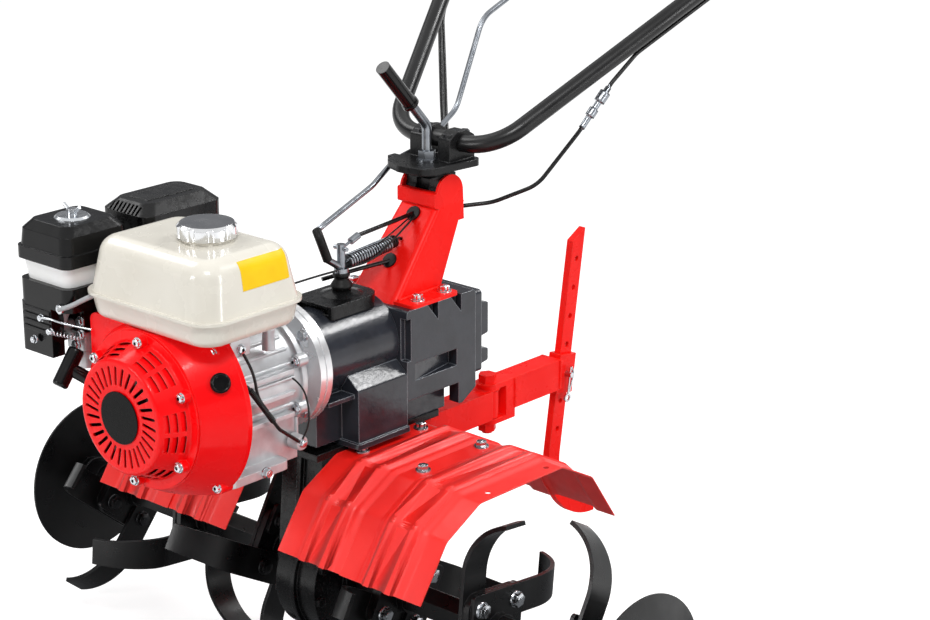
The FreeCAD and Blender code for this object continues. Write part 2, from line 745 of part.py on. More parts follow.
def stop_switch():
    """Round rocker switch in the flank of the shroud."""
    angle = math.radians(SWITCH_ANGLE)
    slope = (SHROUD_R1 - SHROUD_R0) / (SHROUD_RIM_Y - SHROUD_FRONT_Y)
    radius = SHROUD_R0 + slope * (SWITCH_Y - SHROUD_FRONT_Y)
    seat = V(radius * math.cos(angle), SWITCH_Y, CRANK_Z + radius * math.sin(angle))
    normal = V(math.cos(angle), -slope, math.sin(angle)).normalize()
    sunk = seat - normal * SWITCH_R
    outer = seat + normal * SWITCH_PROUD
    body = rod(tuple(sunk), tuple(outer), SWITCH_R)
    rocker = rod(tuple(outer), tuple(outer + normal * 2), SWITCH_R * 0.7)
    return body.fuse(rocker).cut(shroud_form(0.0))


def starter_grip():
    """Rope guide out of the shroud's flank, with the pull handle parked on its end."""
    root = V(SHROUD_LEFT, *GUIDE_ROOT)
    end = root + V(*GUIDE_REACH)
    stem = rod(tuple(root), tuple(end), GUIDE_R)
    half = V(*GRIP_LEAN).normalize() * (STARTER_GRIP_LENGTH / 2)
    centre = end + V(*GUIDE_REACH).normalize() * (STARTER_GRIP_R / 2)
    bar = rod(tuple(centre - half), tuple(centre + half), STARTER_GRIP_R)
    bar = bar.makeFillet(4, bar.Edges)
    return union([stem, bar]).cut(shroud_form(0.0))


def tank_wire(inset, z, corner):
    x0 = TANK_X0 + inset
    x1 = TANK_X1 - inset
    y0 = TANK_Y0 + inset
    y1 = TANK_Y1 - inset
    return corner_wire([(x0, y0, z, corner), (x1, y0, z, corner), (x1, y1, z, corner), (x0, y1, z, corner)])


def tank_form(wall):
    """The tank's two pressed halves: a shallow tray and a taller tapered top."""
    bottom = TANK_BOTTOM + wall
    top = TANK_TOP - wall
    lower = Part.makeLoft([tank_wire(TANK_TRAY_INSET + wall, bottom, TANK_CORNER),
                           tank_wire(TANK_LIP + wall, TANK_SEAM, TANK_CORNER)], True, True)
    upper = Part.makeLoft([tank_wire(TANK_LIP + wall, TANK_SEAM, TANK_CORNER),
                           tank_wire(TANK_TOP_INSET + wall, top, TANK_CORNER)], True, True)
    lower = lower.makeFillet(TANK_TRAY_ROUND, edges_at(lower, bottom))
    upper = upper.makeFillet(TANK_TOP_ROUND, edges_at(upper, top))
    return lower.fuse(upper)


def edges_at(shape, z):
    return [e for e in shape.Edges if abs(e.BoundBox.ZMin - z) < 1e-3 and e.BoundBox.ZLength < 1e-3]


def fuel_tank():
    lip = Part.Face(tank_wire(0, TANK_SEAM - TANK_LIP_THICK / 2, TANK_CORNER + TANK_LIP))
    lip = lip.extrude(V(0, 0, TANK_LIP_THICK))
    neck = rod((CAP_X, CAP_Y, TANK_TOP - TANK_WALL), (CAP_X, CAP_Y, TANK_TOP + NECK_HEIGHT),
               CAP_R - NECK_INSET)
    return union([tank_form(0.0), lip, neck]).cut(tank_form(TANK_WALL))


def fuel_cap():
    base = TANK_TOP + NECK_HEIGHT
    cap = rod((CAP_X, CAP_Y, base), (CAP_X, CAP_Y, base + CAP_HEIGHT), CAP_R)
    cap = cap.makeChamfer(CAP_CHAMFER, edges_at(cap, base + CAP_HEIGHT))
    for k in range(CAP_FLUTES):
        angle = 2 * math.pi * k / CAP_FLUTES
        x = CAP_X + (CAP_R + FLUTE_R * 0.6) * math.cos(angle)
        y = CAP_Y + (CAP_R + FLUTE_R * 0.6) * math.sin(angle)
        cap = cap.cut(rod((x, y, base), (x, y, base + CAP_HEIGHT), FLUTE_R))
    return cap


def cleaner_wire(inset, z, corner):
    x0 = CLEANER_X0 + inset
    x1 = CLEANER_X1 - inset
    y0 = CLEANER_Y0 + inset
    y1 = CLEANER_Y1 - inset
    return corner_wire([(x0, y0, z, corner), (x1, y0, z, corner), (x1, y1, z, corner), (x0, y1, z, corner)])


def cleaner_loft(levels):
    """Rounded rectangles, each an (inset, height) pair, joined by straight walls."""
    return Part.makeLoft([cleaner_wire(inset, z, CLEANER_CORNER) for inset, z in levels], True, True)


def air_cleaner_base():
    """Intake housing below the filter: a tray, and a deep ribbed cheek beside the carburettor."""
    low = CLEANER_BAND_Z - CLEANER_TRAY_DEEP
    tray = cleaner_loft([(CLEANER_TRAY_INSET, low), (CLEANER_TRAY_INSET, CLEANER_BAND_Z)])
    head_front = CYLINDER_Y - CYLINDER_HALF - HEAD_CLEARANCE
    tray = tray.cut(box(CLEANER_X0, CLEANER_X1, head_front, CLEANER_Y1, low, low + HEAD_RELIEF))
    x0 = CLEANER_X0 + CLEANER_TRAY_INSET
    y0 = CLEANER_Y0 + CLEANER_TRAY_INSET
    cheek = plate_z([(x0, y0, CHEEK_ROUND), (x0 + CHEEK_WIDTH, y0, 0),
                     (x0 + CHEEK_WIDTH, y0 + CHEEK_WALL, 0),
                     (x0 + CHEEK_WALL, y0 + CHEEK_WALL, 0), (x0 + CHEEK_WALL, head_front, 0),
                     (x0, head_front, 0)], CHEEK_Z, low)
    parts = [tray, cheek]
    for k in range(CHEEK_RIBS):
        z = low - CHEEK_RIB_PITCH * (k + 1)
        parts.append(box(x0 + CHEEK_ROUND, x0 + CHEEK_WIDTH - 2, y0 - CHEEK_RIB_DEEP, y0,
                         z, z + CHEEK_RIB_PITCH * 0.55))
    elbow = rounded_box(CARB_X - CARB_HALF, CARB_X + CARB_HALF, CARB_Y0, head_front, CARB_TOP, low, 8)
    return union(parts + [elbow])


def air_cleaner_band():
    return cleaner_loft([(CLEANER_BAND_INSET + 4, CLEANER_BAND_Z), (CLEANER_BAND_INSET, CLEANER_COVER_Z)])


def air_cleaner_cover():
    """Cover with an upright skirt, a step and chamfered shoulders."""
    step = CLEANER_COVER_Z + CLEANER_SKIRT
    shoulder = CLEANER_TOP_Z - CLEANER_SHOULDER
    skirt = cleaner_loft([(0, CLEANER_COVER_Z), (0, step)])
    body = cleaner_loft([(CLEANER_STEP, step), (CLEANER_STEP + 2, shoulder),
                         (CLEANER_STEP + CLEANER_SHOULDER, CLEANER_TOP_Z)])
    return union([skirt, body])


def cleaner_nut():
    x = (CLEANER_X0 + CLEANER_X1) / 2
    y = (CLEANER_Y0 + CLEANER_Y1) / 2
    top = CLEANER_TOP_Z
    washer = Part.makeCone(CLEANER_DISC_R, CLEANER_DISC_R - 3, CLEANER_DISC_THICK, V(x, y, top))
    seat = top + CLEANER_DISC_THICK
    nut = rod((x, y, seat), (x, y, seat + WING_NUT_HIGH), WING_NUT_R)
    wings = []
    for side in (-1, 1):
        foot = (x + side * WING_NUT_R * 0.6, y, seat + 3)
        tip = (x + side * WING_REACH, y, seat + WING_NUT_HIGH + 4)
        wings.append(rod(foot, tip, WING_R))
    return union([washer, nut] + wings)


def carburettor():
    x0 = CARB_X - CARB_HALF + CARB_STEP
    x1 = CARB_X + CARB_HALF - CARB_STEP
    head_front = CYLINDER_Y - CYLINDER_HALF - HEAD_CLEARANCE
    body = rounded_box(x0, x1, CARB_Y0 + CARB_STEP, head_front, CARB_BOTTOM, CARB_TOP, 8)
    y = (CARB_Y0 + head_front) / 2
    bowl = rod((CARB_X, y, CARB_BOTTOM - BOWL_DEPTH), (CARB_X, y, CARB_BOTTOM), BOWL_R)
    drain = hexagon((CARB_X, y, CARB_BOTTOM - BOWL_DEPTH), (0, 0, -1), M6_ACROSS, M6_HEAD)
    side = CYLINDER_Y - CYLINDER_HALF + FIN_DEEP
    port_z = CARB_TOP - PORT_R - 2
    port_x = CARB_X + CARB_STEP * 2
    port = rod((port_x, head_front - 2, port_z), (port_x, side, port_z), PORT_R)
    return union([body, bowl, drain, port])


def choke_levers():
    """Grey choke lever over the fuel tap, both ahead of the carburettor."""
    y0 = CARB_Y0
    parts = []
    for start, end, radius in CHOKE_BARS:
        parts.append(rod(start, end, radius))
    parts.append(rod(CHOKE_PIVOT, (CHOKE_PIVOT[0], y0, CHOKE_PIVOT[2]), CHOKE_PIVOT_R))
    return union(parts)


def muffler():
    gap = GUARD_GAP + GUARD_WALL
    can = rounded_box(MUFFLER_X0 + gap, MUFFLER_X1 - gap, MUFFLER_Y0 + gap, MUFFLER_Y1 - gap,
                      MUFFLER_Z0, MUFFLER_Z1 - GUARD_SHOULDER, 12)
    inner = gap + MUFFLER_WALL
    inside = rounded_box(MUFFLER_X0 + inner, MUFFLER_X1 - inner, MUFFLER_Y0 + inner,
                         MUFFLER_Y1 - inner, MUFFLER_Z0 + MUFFLER_WALL,
                         MUFFLER_Z1 - GUARD_SHOULDER - MUFFLER_WALL, 10)
    pipe_low = CRANK_Z + CYLINDER_REACH * math.sin(math.radians(CYLINDER_LEAN))
    pipe = rod(PIPE_PLACE + (pipe_low,), PIPE_PLACE + (MUFFLER_Z0,), PIPE_R)
    return union([can.cut(inside), pipe.cut(cylinder_block())])


def guard_wire(inset, z):
    corner = GUARD_CORNER
    x0 = MUFFLER_X0 + inset
    x1 = MUFFLER_X1 - inset
    y0 = MUFFLER_Y0 + inset
    y1 = MUFFLER_Y1 - inset
    return corner_wire([(x0, y0, z, corner), (x1, y0, z, corner), (x1, y1, z, corner), (x0, y1, z, corner)])


def guard_form(wall):
    """Guard cap: upright sides under a sloped shoulder and a flat top."""
    low = MUFFLER_Z0 + GUARD_RISE
    shoulder = MUFFLER_Z1 - GUARD_SHOULDER
    sides = Part.makeLoft([guard_wire(wall, low), guard_wire(wall, shoulder)], True, True)
    slope = Part.makeLoft([guard_wire(wall, shoulder), guard_wire(GUARD_SHOULDER + wall, MUFFLER_Z1 - wall)],
                          True, True)
    return sides.fuse(slope)


def muffler_guard():
    shell = guard_form(0.0).cut(guard_form(GUARD_WALL))
    slots = []
    span = MUFFLER_X1 - MUFFLER_X0 - 2 * GUARD_CORNER
    pitch = span / GUARD_SLOTS
    shoulder = MUFFLER_Z1 - GUARD_SHOULDER
    for k in range(GUARD_SLOTS):
        x = MUFFLER_X0 + GUARD_CORNER + (k + 0.25) * pitch
        slots.append(box(x, x + pitch * 0.5, MUFFLER_Y0, MUFFLER_Y0 + GUARD_SHOULDER * 0.8,
                         shoulder, MUFFLER_Z1 - GUARD_SHOULDER * 0.2))
    inset = 2 * GUARD_SHOULDER
    ridge = box(MUFFLER_X0 + inset, MUFFLER_X1 - inset, MUFFLER_Y0 + inset, MUFFLER_Y1 - inset,
                MUFFLER_Z1 - GUARD_WALL, MUFFLER_Z1 + 1)
    tab_x = (MUFFLER_X0 + MUFFLER_X1) / 2
    tab_z = MUFFLER_Z0 + GUARD_RISE + TAB_HALF
    tab = box(tab_x - TAB_HALF, tab_x + TAB_HALF, MUFFLER_Y0 + GUARD_WALL / 2,
              MUFFLER_Y0 + GUARD_GAP + GUARD_WALL, tab_z, tab_z + TAB_HALF)
    return union([shell.cut(Part.makeCompound(slots)), ridge, tab])


# ---------------------------------------------------------------- transmission
def adapter_ring():
    disc = rod((0, ADAPTER_Y1 - ADAPTER_THICK, CRANK_Z), (0, ADAPTER_Y1, CRANK_Z), ADAPTER_R)
    middle = ADAPTER_Y1 - ADAPTER_THICK / 2
    groove = ring((0, middle - 1, CRANK_Z), (0, middle + 1, CRANK_Z), ADAPTER_R, ADAPTER_R - 2)
    return disc.cut(groove)


def clutch_housing():
    """Round bell behind the engine, over a squared block with sloped shoulders and a front web."""
    half = GEARBOX_HALF
    low = CASE_PLATE_Z
    shoulder = CRANK_Z - BLOCK_SHOULDER
    barrel = rod((0, ADAPTER_Y1, CRANK_Z), (0, GEARBOX_Y0, CRANK_Z), CLUTCH_R)
    rim = rod((0, ADAPTER_Y1, CRANK_Z), (0, ADAPTER_Y1 + RIM_THICK, CRANK_Z), ADAPTER_R - RIM_INSET)
    block = plate_y([(-half, low, 0), (half, low, 0), (half, shoulder, 4),
                     (CLUTCH_R - 4, shoulder + BLOCK_SLOPE, 0), (-CLUTCH_R + 4, shoulder + BLOCK_SLOPE, 0),
                     (-half, shoulder, 4)], BLOCK_Y0, GEARBOX_Y0)
    web = box(-half + WEB_INSET, half - WEB_INSET, ADAPTER_Y1 + RIM_THICK, BLOCK_Y0,
              shoulder - WEB_THICK * 2, shoulder - WEB_THICK)
    belly = box(-BELLY_HALF, BELLY_HALF, ADAPTER_Y1 + RIM_THICK, BLOCK_Y0, low + LEDGE_THICK, CRANK_Z)
    wide = half + LEDGE_PROUD
    ledge = plate_z([(-wide, BLOCK_Y0 - LEDGE_PROUD, 6), (wide, BLOCK_Y0 - LEDGE_PROUD, 6),
                     (wide, GEARBOX_Y0, 0), (-wide, GEARBOX_Y0, 0)], low, low + LEDGE_THICK)
    return union([barrel, rim, block, web, belly, ledge])


def gearbox_housing():
    """Gearbox casting: side pockets, notched top edges, two rear legs and stepped rear lugs."""
    half = GEARBOX_HALF
    body = plate_x([(GEARBOX_Y0, GEARBOX_BOTTOM, 0), (GEARBOX_Y1, GEARBOX_BOTTOM, 0),
                    (GEARBOX_Y1, GEARBOX_TOP, 5), (GEARBOX_Y0, GEARBOX_TOP, 5)], -half, half)
    foot = box(-GEARBOX_FOOT_HALF, GEARBOX_FOOT_HALF, GEARBOX_Y0, GEARBOX_LEG_Y0,
               CASE_PLATE_Z, GEARBOX_BOTTOM)
    leg = plate_x([(GEARBOX_LEG_Y0, GEARBOX_BOTTOM, 0), (GEARBOX_LEG_Y0, GEARBOX_LEG_Z, 2),
                   (GEARBOX_LEG_Y0 + LEG_TOE, GEARBOX_LEG_Z, 2), (GEARBOX_Y1, GEARBOX_LEG_Z + LEG_BEVEL, 2),
                   (GEARBOX_Y1, GEARBOX_BOTTOM, 0)], half - LEG_WALL, half)
    cover = plate_y([(-half + COVER_INSET, GEARBOX_BOTTOM, 6), (half - COVER_INSET, GEARBOX_BOTTOM, 6),
                     (half - COVER_INSET, GEARBOX_TOP - COVER_INSET, 6),
                     (-half + COVER_INSET, GEARBOX_TOP - COVER_INSET, 6)],
                    GEARBOX_Y1, GEARBOX_Y1 + COVER_STEP)
    lug_half = half - LUG_INSET
    lug_y0 = GEARBOX_Y1 + COVER_STEP
    parts = [body, foot, leg, mirrored(leg), cover]
    for low, high in LUG_HEIGHTS:
        parts.append(plate_x([(lug_y0, low, 0), (LUG_Y1, low + 4, 3), (LUG_Y1, high - 6, 3),
                              (lug_y0, high, 0)], -lug_half, lug_half))
    whole = union(parts)
    pocket = plate_z([(half, POCKET_Y0, 0), (half, POCKET_Y1, 0), (half - POCKET_DEPTH, POCKET_Y1, 0)],
                     POCKET_Z0, POCKET_Z1)
    cuts = [pocket, mirrored(pocket)]
    for y in NOTCH_Y:
        notch = plate_x([(y, GEARBOX_TOP, 0), (y + NOTCH_LENGTH, GEARBOX_TOP, 0),
                         (y + NOTCH_LENGTH, GEARBOX_TOP - NOTCH_DROP, 0)], half - NOTCH_DEPTH, half)
        cuts += [notch, mirrored(notch)]
    slot = box(half - NOTCH_DEPTH, half, GEARBOX_Y0, GEARBOX_Y0 + FRONT_RELIEF,
               CRANK_Z - BLOCK_SHOULDER + BLOCK_SLOPE, GEARBOX_TOP - NOTCH_DEPTH)
    cuts += [slot, mirrored(slot)]
    return whole.cut(Part.makeCompound(cuts))


def gear_case():
    """Lower drive case: a tapered leg on the round end that carries the rotor shaft."""
    thick = CASE_HALF
    top = CASE_PLATE_Z - CASE_PLATE_THICK
    leg = plate_x([(CASE_PLATE_Y0 + CASE_TAPER, top, 0), (CASE_PLATE_Y1 - CASE_TAPER, top, 0),
                   (CASE_ROUND_R - 4, 20, 40), (-CASE_ROUND_R + 4, 20, 40)], -thick, thick)
    end = rod((-thick, 0, 0), (thick, 0, 0), CASE_ROUND_R)
    plate = box(-CASE_PLATE_HALF, CASE_PLATE_HALF, CASE_PLATE_Y0, CASE_PLATE_Y1, top, CASE_PLATE_Z)
    reach = thick + CASE_BOSS
    parts = [leg, end, plate, rod((-reach, 0, 0), (reach, 0, 0), CASE_BOSS_R)]
    lip = CASE_ROUND_R + CASE_FLANGE
    flange = plate_x([(CASE_PLATE_Y0 + CASE_TAPER - CASE_FLANGE, top, 0),
                      (CASE_PLATE_Y1 - CASE_TAPER + CASE_FLANGE, top, 0),
                      (lip - 4, 20, 46), (-lip + 4, 20, 46)], -CASE_FLANGE / 2, CASE_FLANGE / 2)
    parts += [flange, rod((-CASE_FLANGE / 2, 0, 0), (CASE_FLANGE / 2, 0, 0), lip)]
    for side in (-1, 1):
        for k in range(CASE_BOLTS):
            angle = math.radians(CASE_BOLT_START + k * CASE_BOLT_STEP)
            y = (CASE_ROUND_R - BOSS_R) * math.cos(angle)
            z = (CASE_ROUND_R - BOSS_R) * math.sin(angle)
            parts.append(hexagon((side * thick, y, z), (side, 0, 0), M8_ACROSS, M8_HEAD))
    body = union(parts)
    return body.cut(rod((-reach, 0, 0), (reach, 0, 0), SHAFT_R + SHAFT_RUNNING))


# ---------------------------------------------------------------- fenders
def fender_profile(lift):
    m = FENDER_MIDDLE_Y
    return [
        (m - FENDER_EDGE_HALF - lift, FENDER_EDGE_Z), (m - FENDER_BEND_HALF, FENDER_BEND_Z + lift),
        (m - FENDER_TOP_HALF, FENDER_TOP_Z + lift), (m + FENDER_TOP_HALF, FENDER_TOP_Z + lift),
        (m + FENDER_BEND_HALF, FENDER_BEND_Z + lift), (m + FENDER_EDGE_HALF + lift, FENDER_EDGE_Z),
    ]


def bent_sheet(x0, x1, lift):
    """A sheet of the fender's thickness along its bent profile, raised by the lift."""
    bend = [0, FENDER_BEND_R, FENDER_BEND_R, FENDER_BEND_R, FENDER_BEND_R, 0]
    points = [(p[0], p[1], r) for p, r in zip(fender_profile(lift + FENDER_THICK), bend)]
    inner = [(p[0], p[1], max(r - FENDER_THICK, 0)) for p, r in zip(fender_profile(lift), bend)]
    return plate_x(points + inner[::-1], x0, x1)


def fender_sheet(x0, x1, lift, bolts_x, ribs_x):
    """Sheet with ribs pressed upwards across it, clear of its bolts."""
    sheet = bent_sheet(x0, x1, lift)
    for x in ribs_x:
        rib = bent_sheet(x - RIB_HALF, x + RIB_HALF, lift + RIB_HEIGHT)
        crest = bent_sheet(x - RIB_HALF * 0.55, x + RIB_HALF * 0.55, lift + 2 * RIB_HEIGHT)
        sheet = sheet.fuse(rib).fuse(crest)
    for x in bolts_x:
        for y in FENDER_BOLT_Y:
            sheet = sheet.cut(rod((x, y, FENDER_TOP_Z), (x, y, FENDER_TOP_Z + FENDER_EDGE_Z), FENDER_HOLE_R))
    return sheet.removeSplitter()


def fender_inner():
    return fender_sheet(FENDER_INNER_X0, FENDER_INNER_X1, 0.0, FENDER_BOLT_X, FENDER_INNER_RIBS)


def fender_outer():
    return fender_sheet(FENDER_OUTER_X0, FENDER_OUTER_X1, FENDER_THICK, (FENDER_BOLT_X[1], FENDER_FREE_X),
                        FENDER_OUTER_RIBS)


def fender_stay():
    """Two flat bars from the gear case out under the fender, each with two bolts."""
    pieces = []
    top = FENDER_TOP_Z
    low = top - STAY_THICK
    for y in FENDER_BOLT_Y:
        y0 = y - STAY_WIDTH / 2
        y1 = y + STAY_WIDTH / 2
        pieces.append(box(CASE_HALF, FENDER_BOLT_X[1] + STAY_END, y0, y1, low, top))
        pieces.append(box(CASE_HALF, CASE_HALF + STAY_THICK, y0, y1, top - STAY_TAB, top))
        for x in FENDER_BOLT_X:
            sheets = 2 * FENDER_THICK if x > FENDER_OUTER_X0 else FENDER_THICK
            seat = top + sheets
            pieces.append(rod((x, y, low), (x, y, seat), FENDER_HOLE_R))
            pieces.append(rod((x, y, seat), (x, y, seat + WASHER_THICK), M8_ACROSS * 0.8))
            pieces.append(hexagon((x, y, seat + WASHER_THICK), (0, 0, 1), M8_ACROSS, M8_HEAD))
            pieces.append(hexagon((x, y, low), (0, 0, -1), M8_ACROSS, M8_HEAD))
    return union(pieces)


# ---------------------------------------------------------------- tine rotor
def tine(side):
    """One tine: straight where it is bolted, then curved sideways; its tip points up +Z."""
    run = TINE_REACH - TINE_BEND_START
    radius = (run ** 2 + TINE_SWEEP ** 2) / (2 * TINE_SWEEP)
    turn = math.asin(run / radius)
    half = TINE_THICK / 2

    def on_arc(angle, r):
        return V(side * (radius - r * math.cos(angle)), 0, TINE_BEND_START + r * math.sin(angle))

    edges = []
    for r in (radius - half, radius + half):
        edges.append(Part.Arc(on_arc(0, r), on_arc(turn / 2, r), on_arc(turn, r)).toShape())
    tip = Part.LineSegment(on_arc(turn, radius - half), on_arc(turn, radius + half)).toShape()
    root_a = V(side * half, 0, -TINE_TAIL)
    root_b = V(-side * half, 0, -TINE_TAIL)
    sides = [Part.LineSegment(root_a, on_arc(0, radius - half)).toShape(),
             Part.LineSegment(root_b, on_arc(0, radius + half)).toShape(),
             Part.LineSegment(root_a, root_b).toShape()]
    wire = Part.Wire(Part.sortEdges(edges + [tip] + sides)[0])
    strip = Part.Face(wire).extrude(V(0, TINE_WIDTH, 0))
    strip.translate(V(0, -TINE_WIDTH / 2, 0))
    reach = TINE_REACH + half
    w = TINE_WIDTH / 2
    knee = TINE_BEND_START + TINE_WIDTH / 2
    outline = plate_x([(-w, -TINE_TAIL, 6), (w, -TINE_TAIL, 6), (w, knee + w, 30),
                       (w - TINE_TIP_BACK, reach, 0), (w - TINE_TIP_BACK - TINE_TIP_WIDTH, reach, 0),
                       (-w, knee, 30)], -TINE_REACH, TINE_REACH)
    blade = strip.common(outline)
    blade.translate(V(0, -TINE_OFFSET, 0))
    return blade


def tine_set(station, turn, first_side):
    """A doubled flange with four tines set pinwheel fashion, bent left and right in turn.

    Each of the four bolts holds the root of one tine and the tail of the next.
    """
    half = FLANGE_THICK / 2
    corner = FLANGE_HALF * 0.4
    flange = plate_x([(-FLANGE_HALF, -FLANGE_HALF, corner), (FLANGE_HALF, -FLANGE_HALF, corner),
                      (FLANGE_HALF, FLANGE_HALF, corner), (-FLANGE_HALF, FLANGE_HALF, corner)], -half, half)
    swing = math.degrees(math.atan2(TINE_OFFSET, TINE_REACH))
    spin = turn - 90 - swing
    flange.rotate(V(0, 0, 0), V(1, 0, 0), spin)
    hub = rod((-HUB_HALF, 0, 0), (HUB_HALF, 0, 0), HUB_R)
    pieces = [hub, flange]
    face = half + TINE_THICK
    nut = M12_NUT - M12_THREAD_SHOWN
    for k in range(4):
        side = first_side if k % 2 == 0 else -first_side
        blade = tine(side)
        blade.translate(V(-side * (half + TINE_THICK / 2), 0, 0))
        blade = blade.fuse(rod((-face - M12_NUT, -TINE_OFFSET, TINE_OFFSET),
                               (face, -TINE_OFFSET, TINE_OFFSET), BOLT_R))
        blade = blade.fuse(hexagon((-face, -TINE_OFFSET, TINE_OFFSET), (-1, 0, 0), M12_ACROSS, nut))
        blade = blade.fuse(hexagon((face, -TINE_OFFSET, TINE_OFFSET), (1, 0, 0), M12_ACROSS, M12_HEAD))
        blade.rotate(V(0, 0, 0), V(1, 0, 0), spin + k * 90)
        pieces.append(blade)
    whole = union(pieces)
    whole = whole.cut(rod((-HUB_HALF, 0, 0), (HUB_HALF, 0, 0), SHAFT_R))
    whole.translate(V(station, 0, 0))
    return whole


def rotor_shaft():
    return rod((-ROTOR_HALF - SHAFT_END, 0, 0), (ROTOR_HALF + SHAFT_END, 0, 0), SHAFT_R)


def rotor_tubes():
    """Hexagonal spacer tubes on the shaft between the hubs, on the left side."""
    stops = [CASE_HALF + CASE_BOSS + SPACER_GAP]
    for station in FLANGE_STATIONS:
        stops += [station - HUB_HALF, station + HUB_HALF]
    stops.append(ROTOR_HALF - DISC_HUB)
    tubes = []
    for start, end in zip(stops[::2], stops[1::2]):
        tube = hexagon((start, 0, 0), (1, 0, 0), SPACER_ACROSS, end - start)
        tubes.append(tube.cut(rod((start, 0, 0), (end, 0, 0), SHAFT_R)))
    return tubes


def side_disc():
    """A dished disc with a hub, its hollow side towards the machine."""
    rim = DISC_R
    ball = (rim ** 2 + DISC_DISH ** 2) / (2 * DISC_DISH)
    centre = V(ROTOR_HALF + DISC_DISH - ball, 0, 0)
    cap = Part.makeSphere(ball, centre).cut(Part.makeSphere(ball - DISC_THICK, centre))
    cap = cap.common(rod((ROTOR_HALF - DISC_THICK, 0, 0), (ROTOR_HALF + rim, 0, 0), rim))
    hub = rod((ROTOR_HALF - DISC_HUB, 0, 0), (ROTOR_HALF + DISC_DISH, 0, 0), HUB_R)
    return union([cap, hub]).cut(rotor_shaft())


# ---------------------------------------------------------------- column and handlebar
def column_wire(z, half, front, rear, corner):
    return corner_wire([(-half, front, z, corner), (half, front, z, corner),
                        (half, rear, z, 0), (-half, rear, z, 0)])


def face_point(z):
    """Y of the column's sloping front face at a height."""
    slope = (COLUMN_FRONT_TOP - COLUMN_FRONT_BASE) / (COLUMN_LIP_Z - GEARBOX_TOP)
    return COLUMN_FRONT_BASE + slope * (z - GEARBOX_TOP)


def face_normal():
    """Direction straight out of the column's front face."""
    return V(0, GEARBOX_TOP - COLUMN_LIP_Z, COLUMN_FRONT_TOP - COLUMN_FRONT_BASE).normalize()


def column():
    """Pressed steel column: sloping channel open to the rear, bolted feet, and ears for the head."""
    wall = COLUMN_WALL
    base = COLUMN_BASE_HALF
    top = COLUMN_TOP_HALF
    corner = COLUMN_CORNER
    outer = Part.makeLoft([column_wire(GEARBOX_TOP, base, COLUMN_FRONT_BASE, COLUMN_REAR_BASE, corner),
                           column_wire(COLUMN_LIP_Z, top, COLUMN_FRONT_TOP, COLUMN_REAR_TOP, corner)],
                          True, True)
    inner = Part.makeLoft([column_wire(GEARBOX_TOP, base - wall, COLUMN_FRONT_BASE + wall * 1.3,
                                       COLUMN_REAR_TOP + wall, corner - wall),
                           column_wire(COLUMN_LIP_Z, top - wall, COLUMN_FRONT_TOP + wall * 1.3,
                                       COLUMN_REAR_TOP + wall, corner - wall)], True, True)
    shell = outer.cut(inner)
    ear = rod((top - wall, PIVOT_Y, PIVOT_Z), (top, PIVOT_Y, PIVOT_Z), EAR_R)
    web = plate_x([(COLUMN_FRONT_TOP + wall, COLUMN_LIP_Z - EAR_R, 0),
                   (COLUMN_REAR_TOP, COLUMN_LIP_Z - EAR_R, 0),
                   (PIVOT_Y + EAR_R, PIVOT_Z, 0), (COLUMN_FRONT_TOP + wall, PIVOT_Z, 0)], top - wall, top)
    lip = plate_x([(COLUMN_FRONT_TOP - LIP_PROUD, COLUMN_LIP_Z, 3),
                   (COLUMN_FRONT_TOP + wall, COLUMN_LIP_Z - wall, 0),
                   (COLUMN_FRONT_TOP + wall, LIP_TOP_Z, 0), (COLUMN_FRONT_TOP - LIP_PROUD, LIP_TOP_Z, 3)],
                  -top, top)
    foot = plate_z([(base - wall, COLUMN_FOOT_Y0, 0), (base + COLUMN_FOOT_WIDTH, COLUMN_FOOT_Y0, 8),
                    (base + COLUMN_FOOT_WIDTH, COLUMN_FOOT_Y1, 8), (base - wall, COLUMN_FOOT_Y1, 0)],
                   GEARBOX_TOP, GEARBOX_TOP + COLUMN_FOOT_THICK)
    pieces = [shell, ear, mirrored(ear), web, mirrored(web), lip, foot, mirrored(foot)]
    for y in COLUMN_BOLT_Y:
        x = base + COLUMN_FOOT_WIDTH / 2
        seat = GEARBOX_TOP + COLUMN_FOOT_THICK
        bolt = rod((x, y, seat), (x, y, seat + WASHER_THICK), M8_ACROSS * 0.8)
        bolt = bolt.fuse(hexagon((x, y, seat + WASHER_THICK), (0, 0, 1), M8_ACROSS, M8_HEAD))
        pieces += [bolt, mirrored(bolt)]
    body = union(pieces)
    cuts = [rod((-top + EAR_SKIN, PIVOT_Y, PIVOT_Z), (top - EAR_SKIN, PIVOT_Y, PIVOT_Z),
                PIVOT_BOLT_R + PIVOT_RUNNING)]
    for z, radius in [(z, GROMMET_R - GROMMET_LIP) for z in GROMMET_Z] + [(HOOK_Z, HOOK_HOLE_R)]:
        place = V(0, face_point(z), z)
        cuts.append(rod(tuple(place - face_normal() * wall * 2), tuple(place + face_normal()), radius))
    return body.cut(Part.makeCompound(cuts))


def column_grommets():
    """Rubber grommets in the column's front, each closed round its cable."""
    rings = []
    for z in GROMMET_Z:
        place = V(0, face_point(z), z)
        normal = face_normal()
        flange = rod(tuple(place), tuple(place + normal * GROMMET_LIP), GROMMET_R)
        sleeve = rod(tuple(place - normal * COLUMN_WALL * 1.5), tuple(place), GROMMET_R - GROMMET_LIP)
        rings.append(flange.fuse(sleeve))
    return [ring_piece.cut(chassis_cables()) for ring_piece in rings]


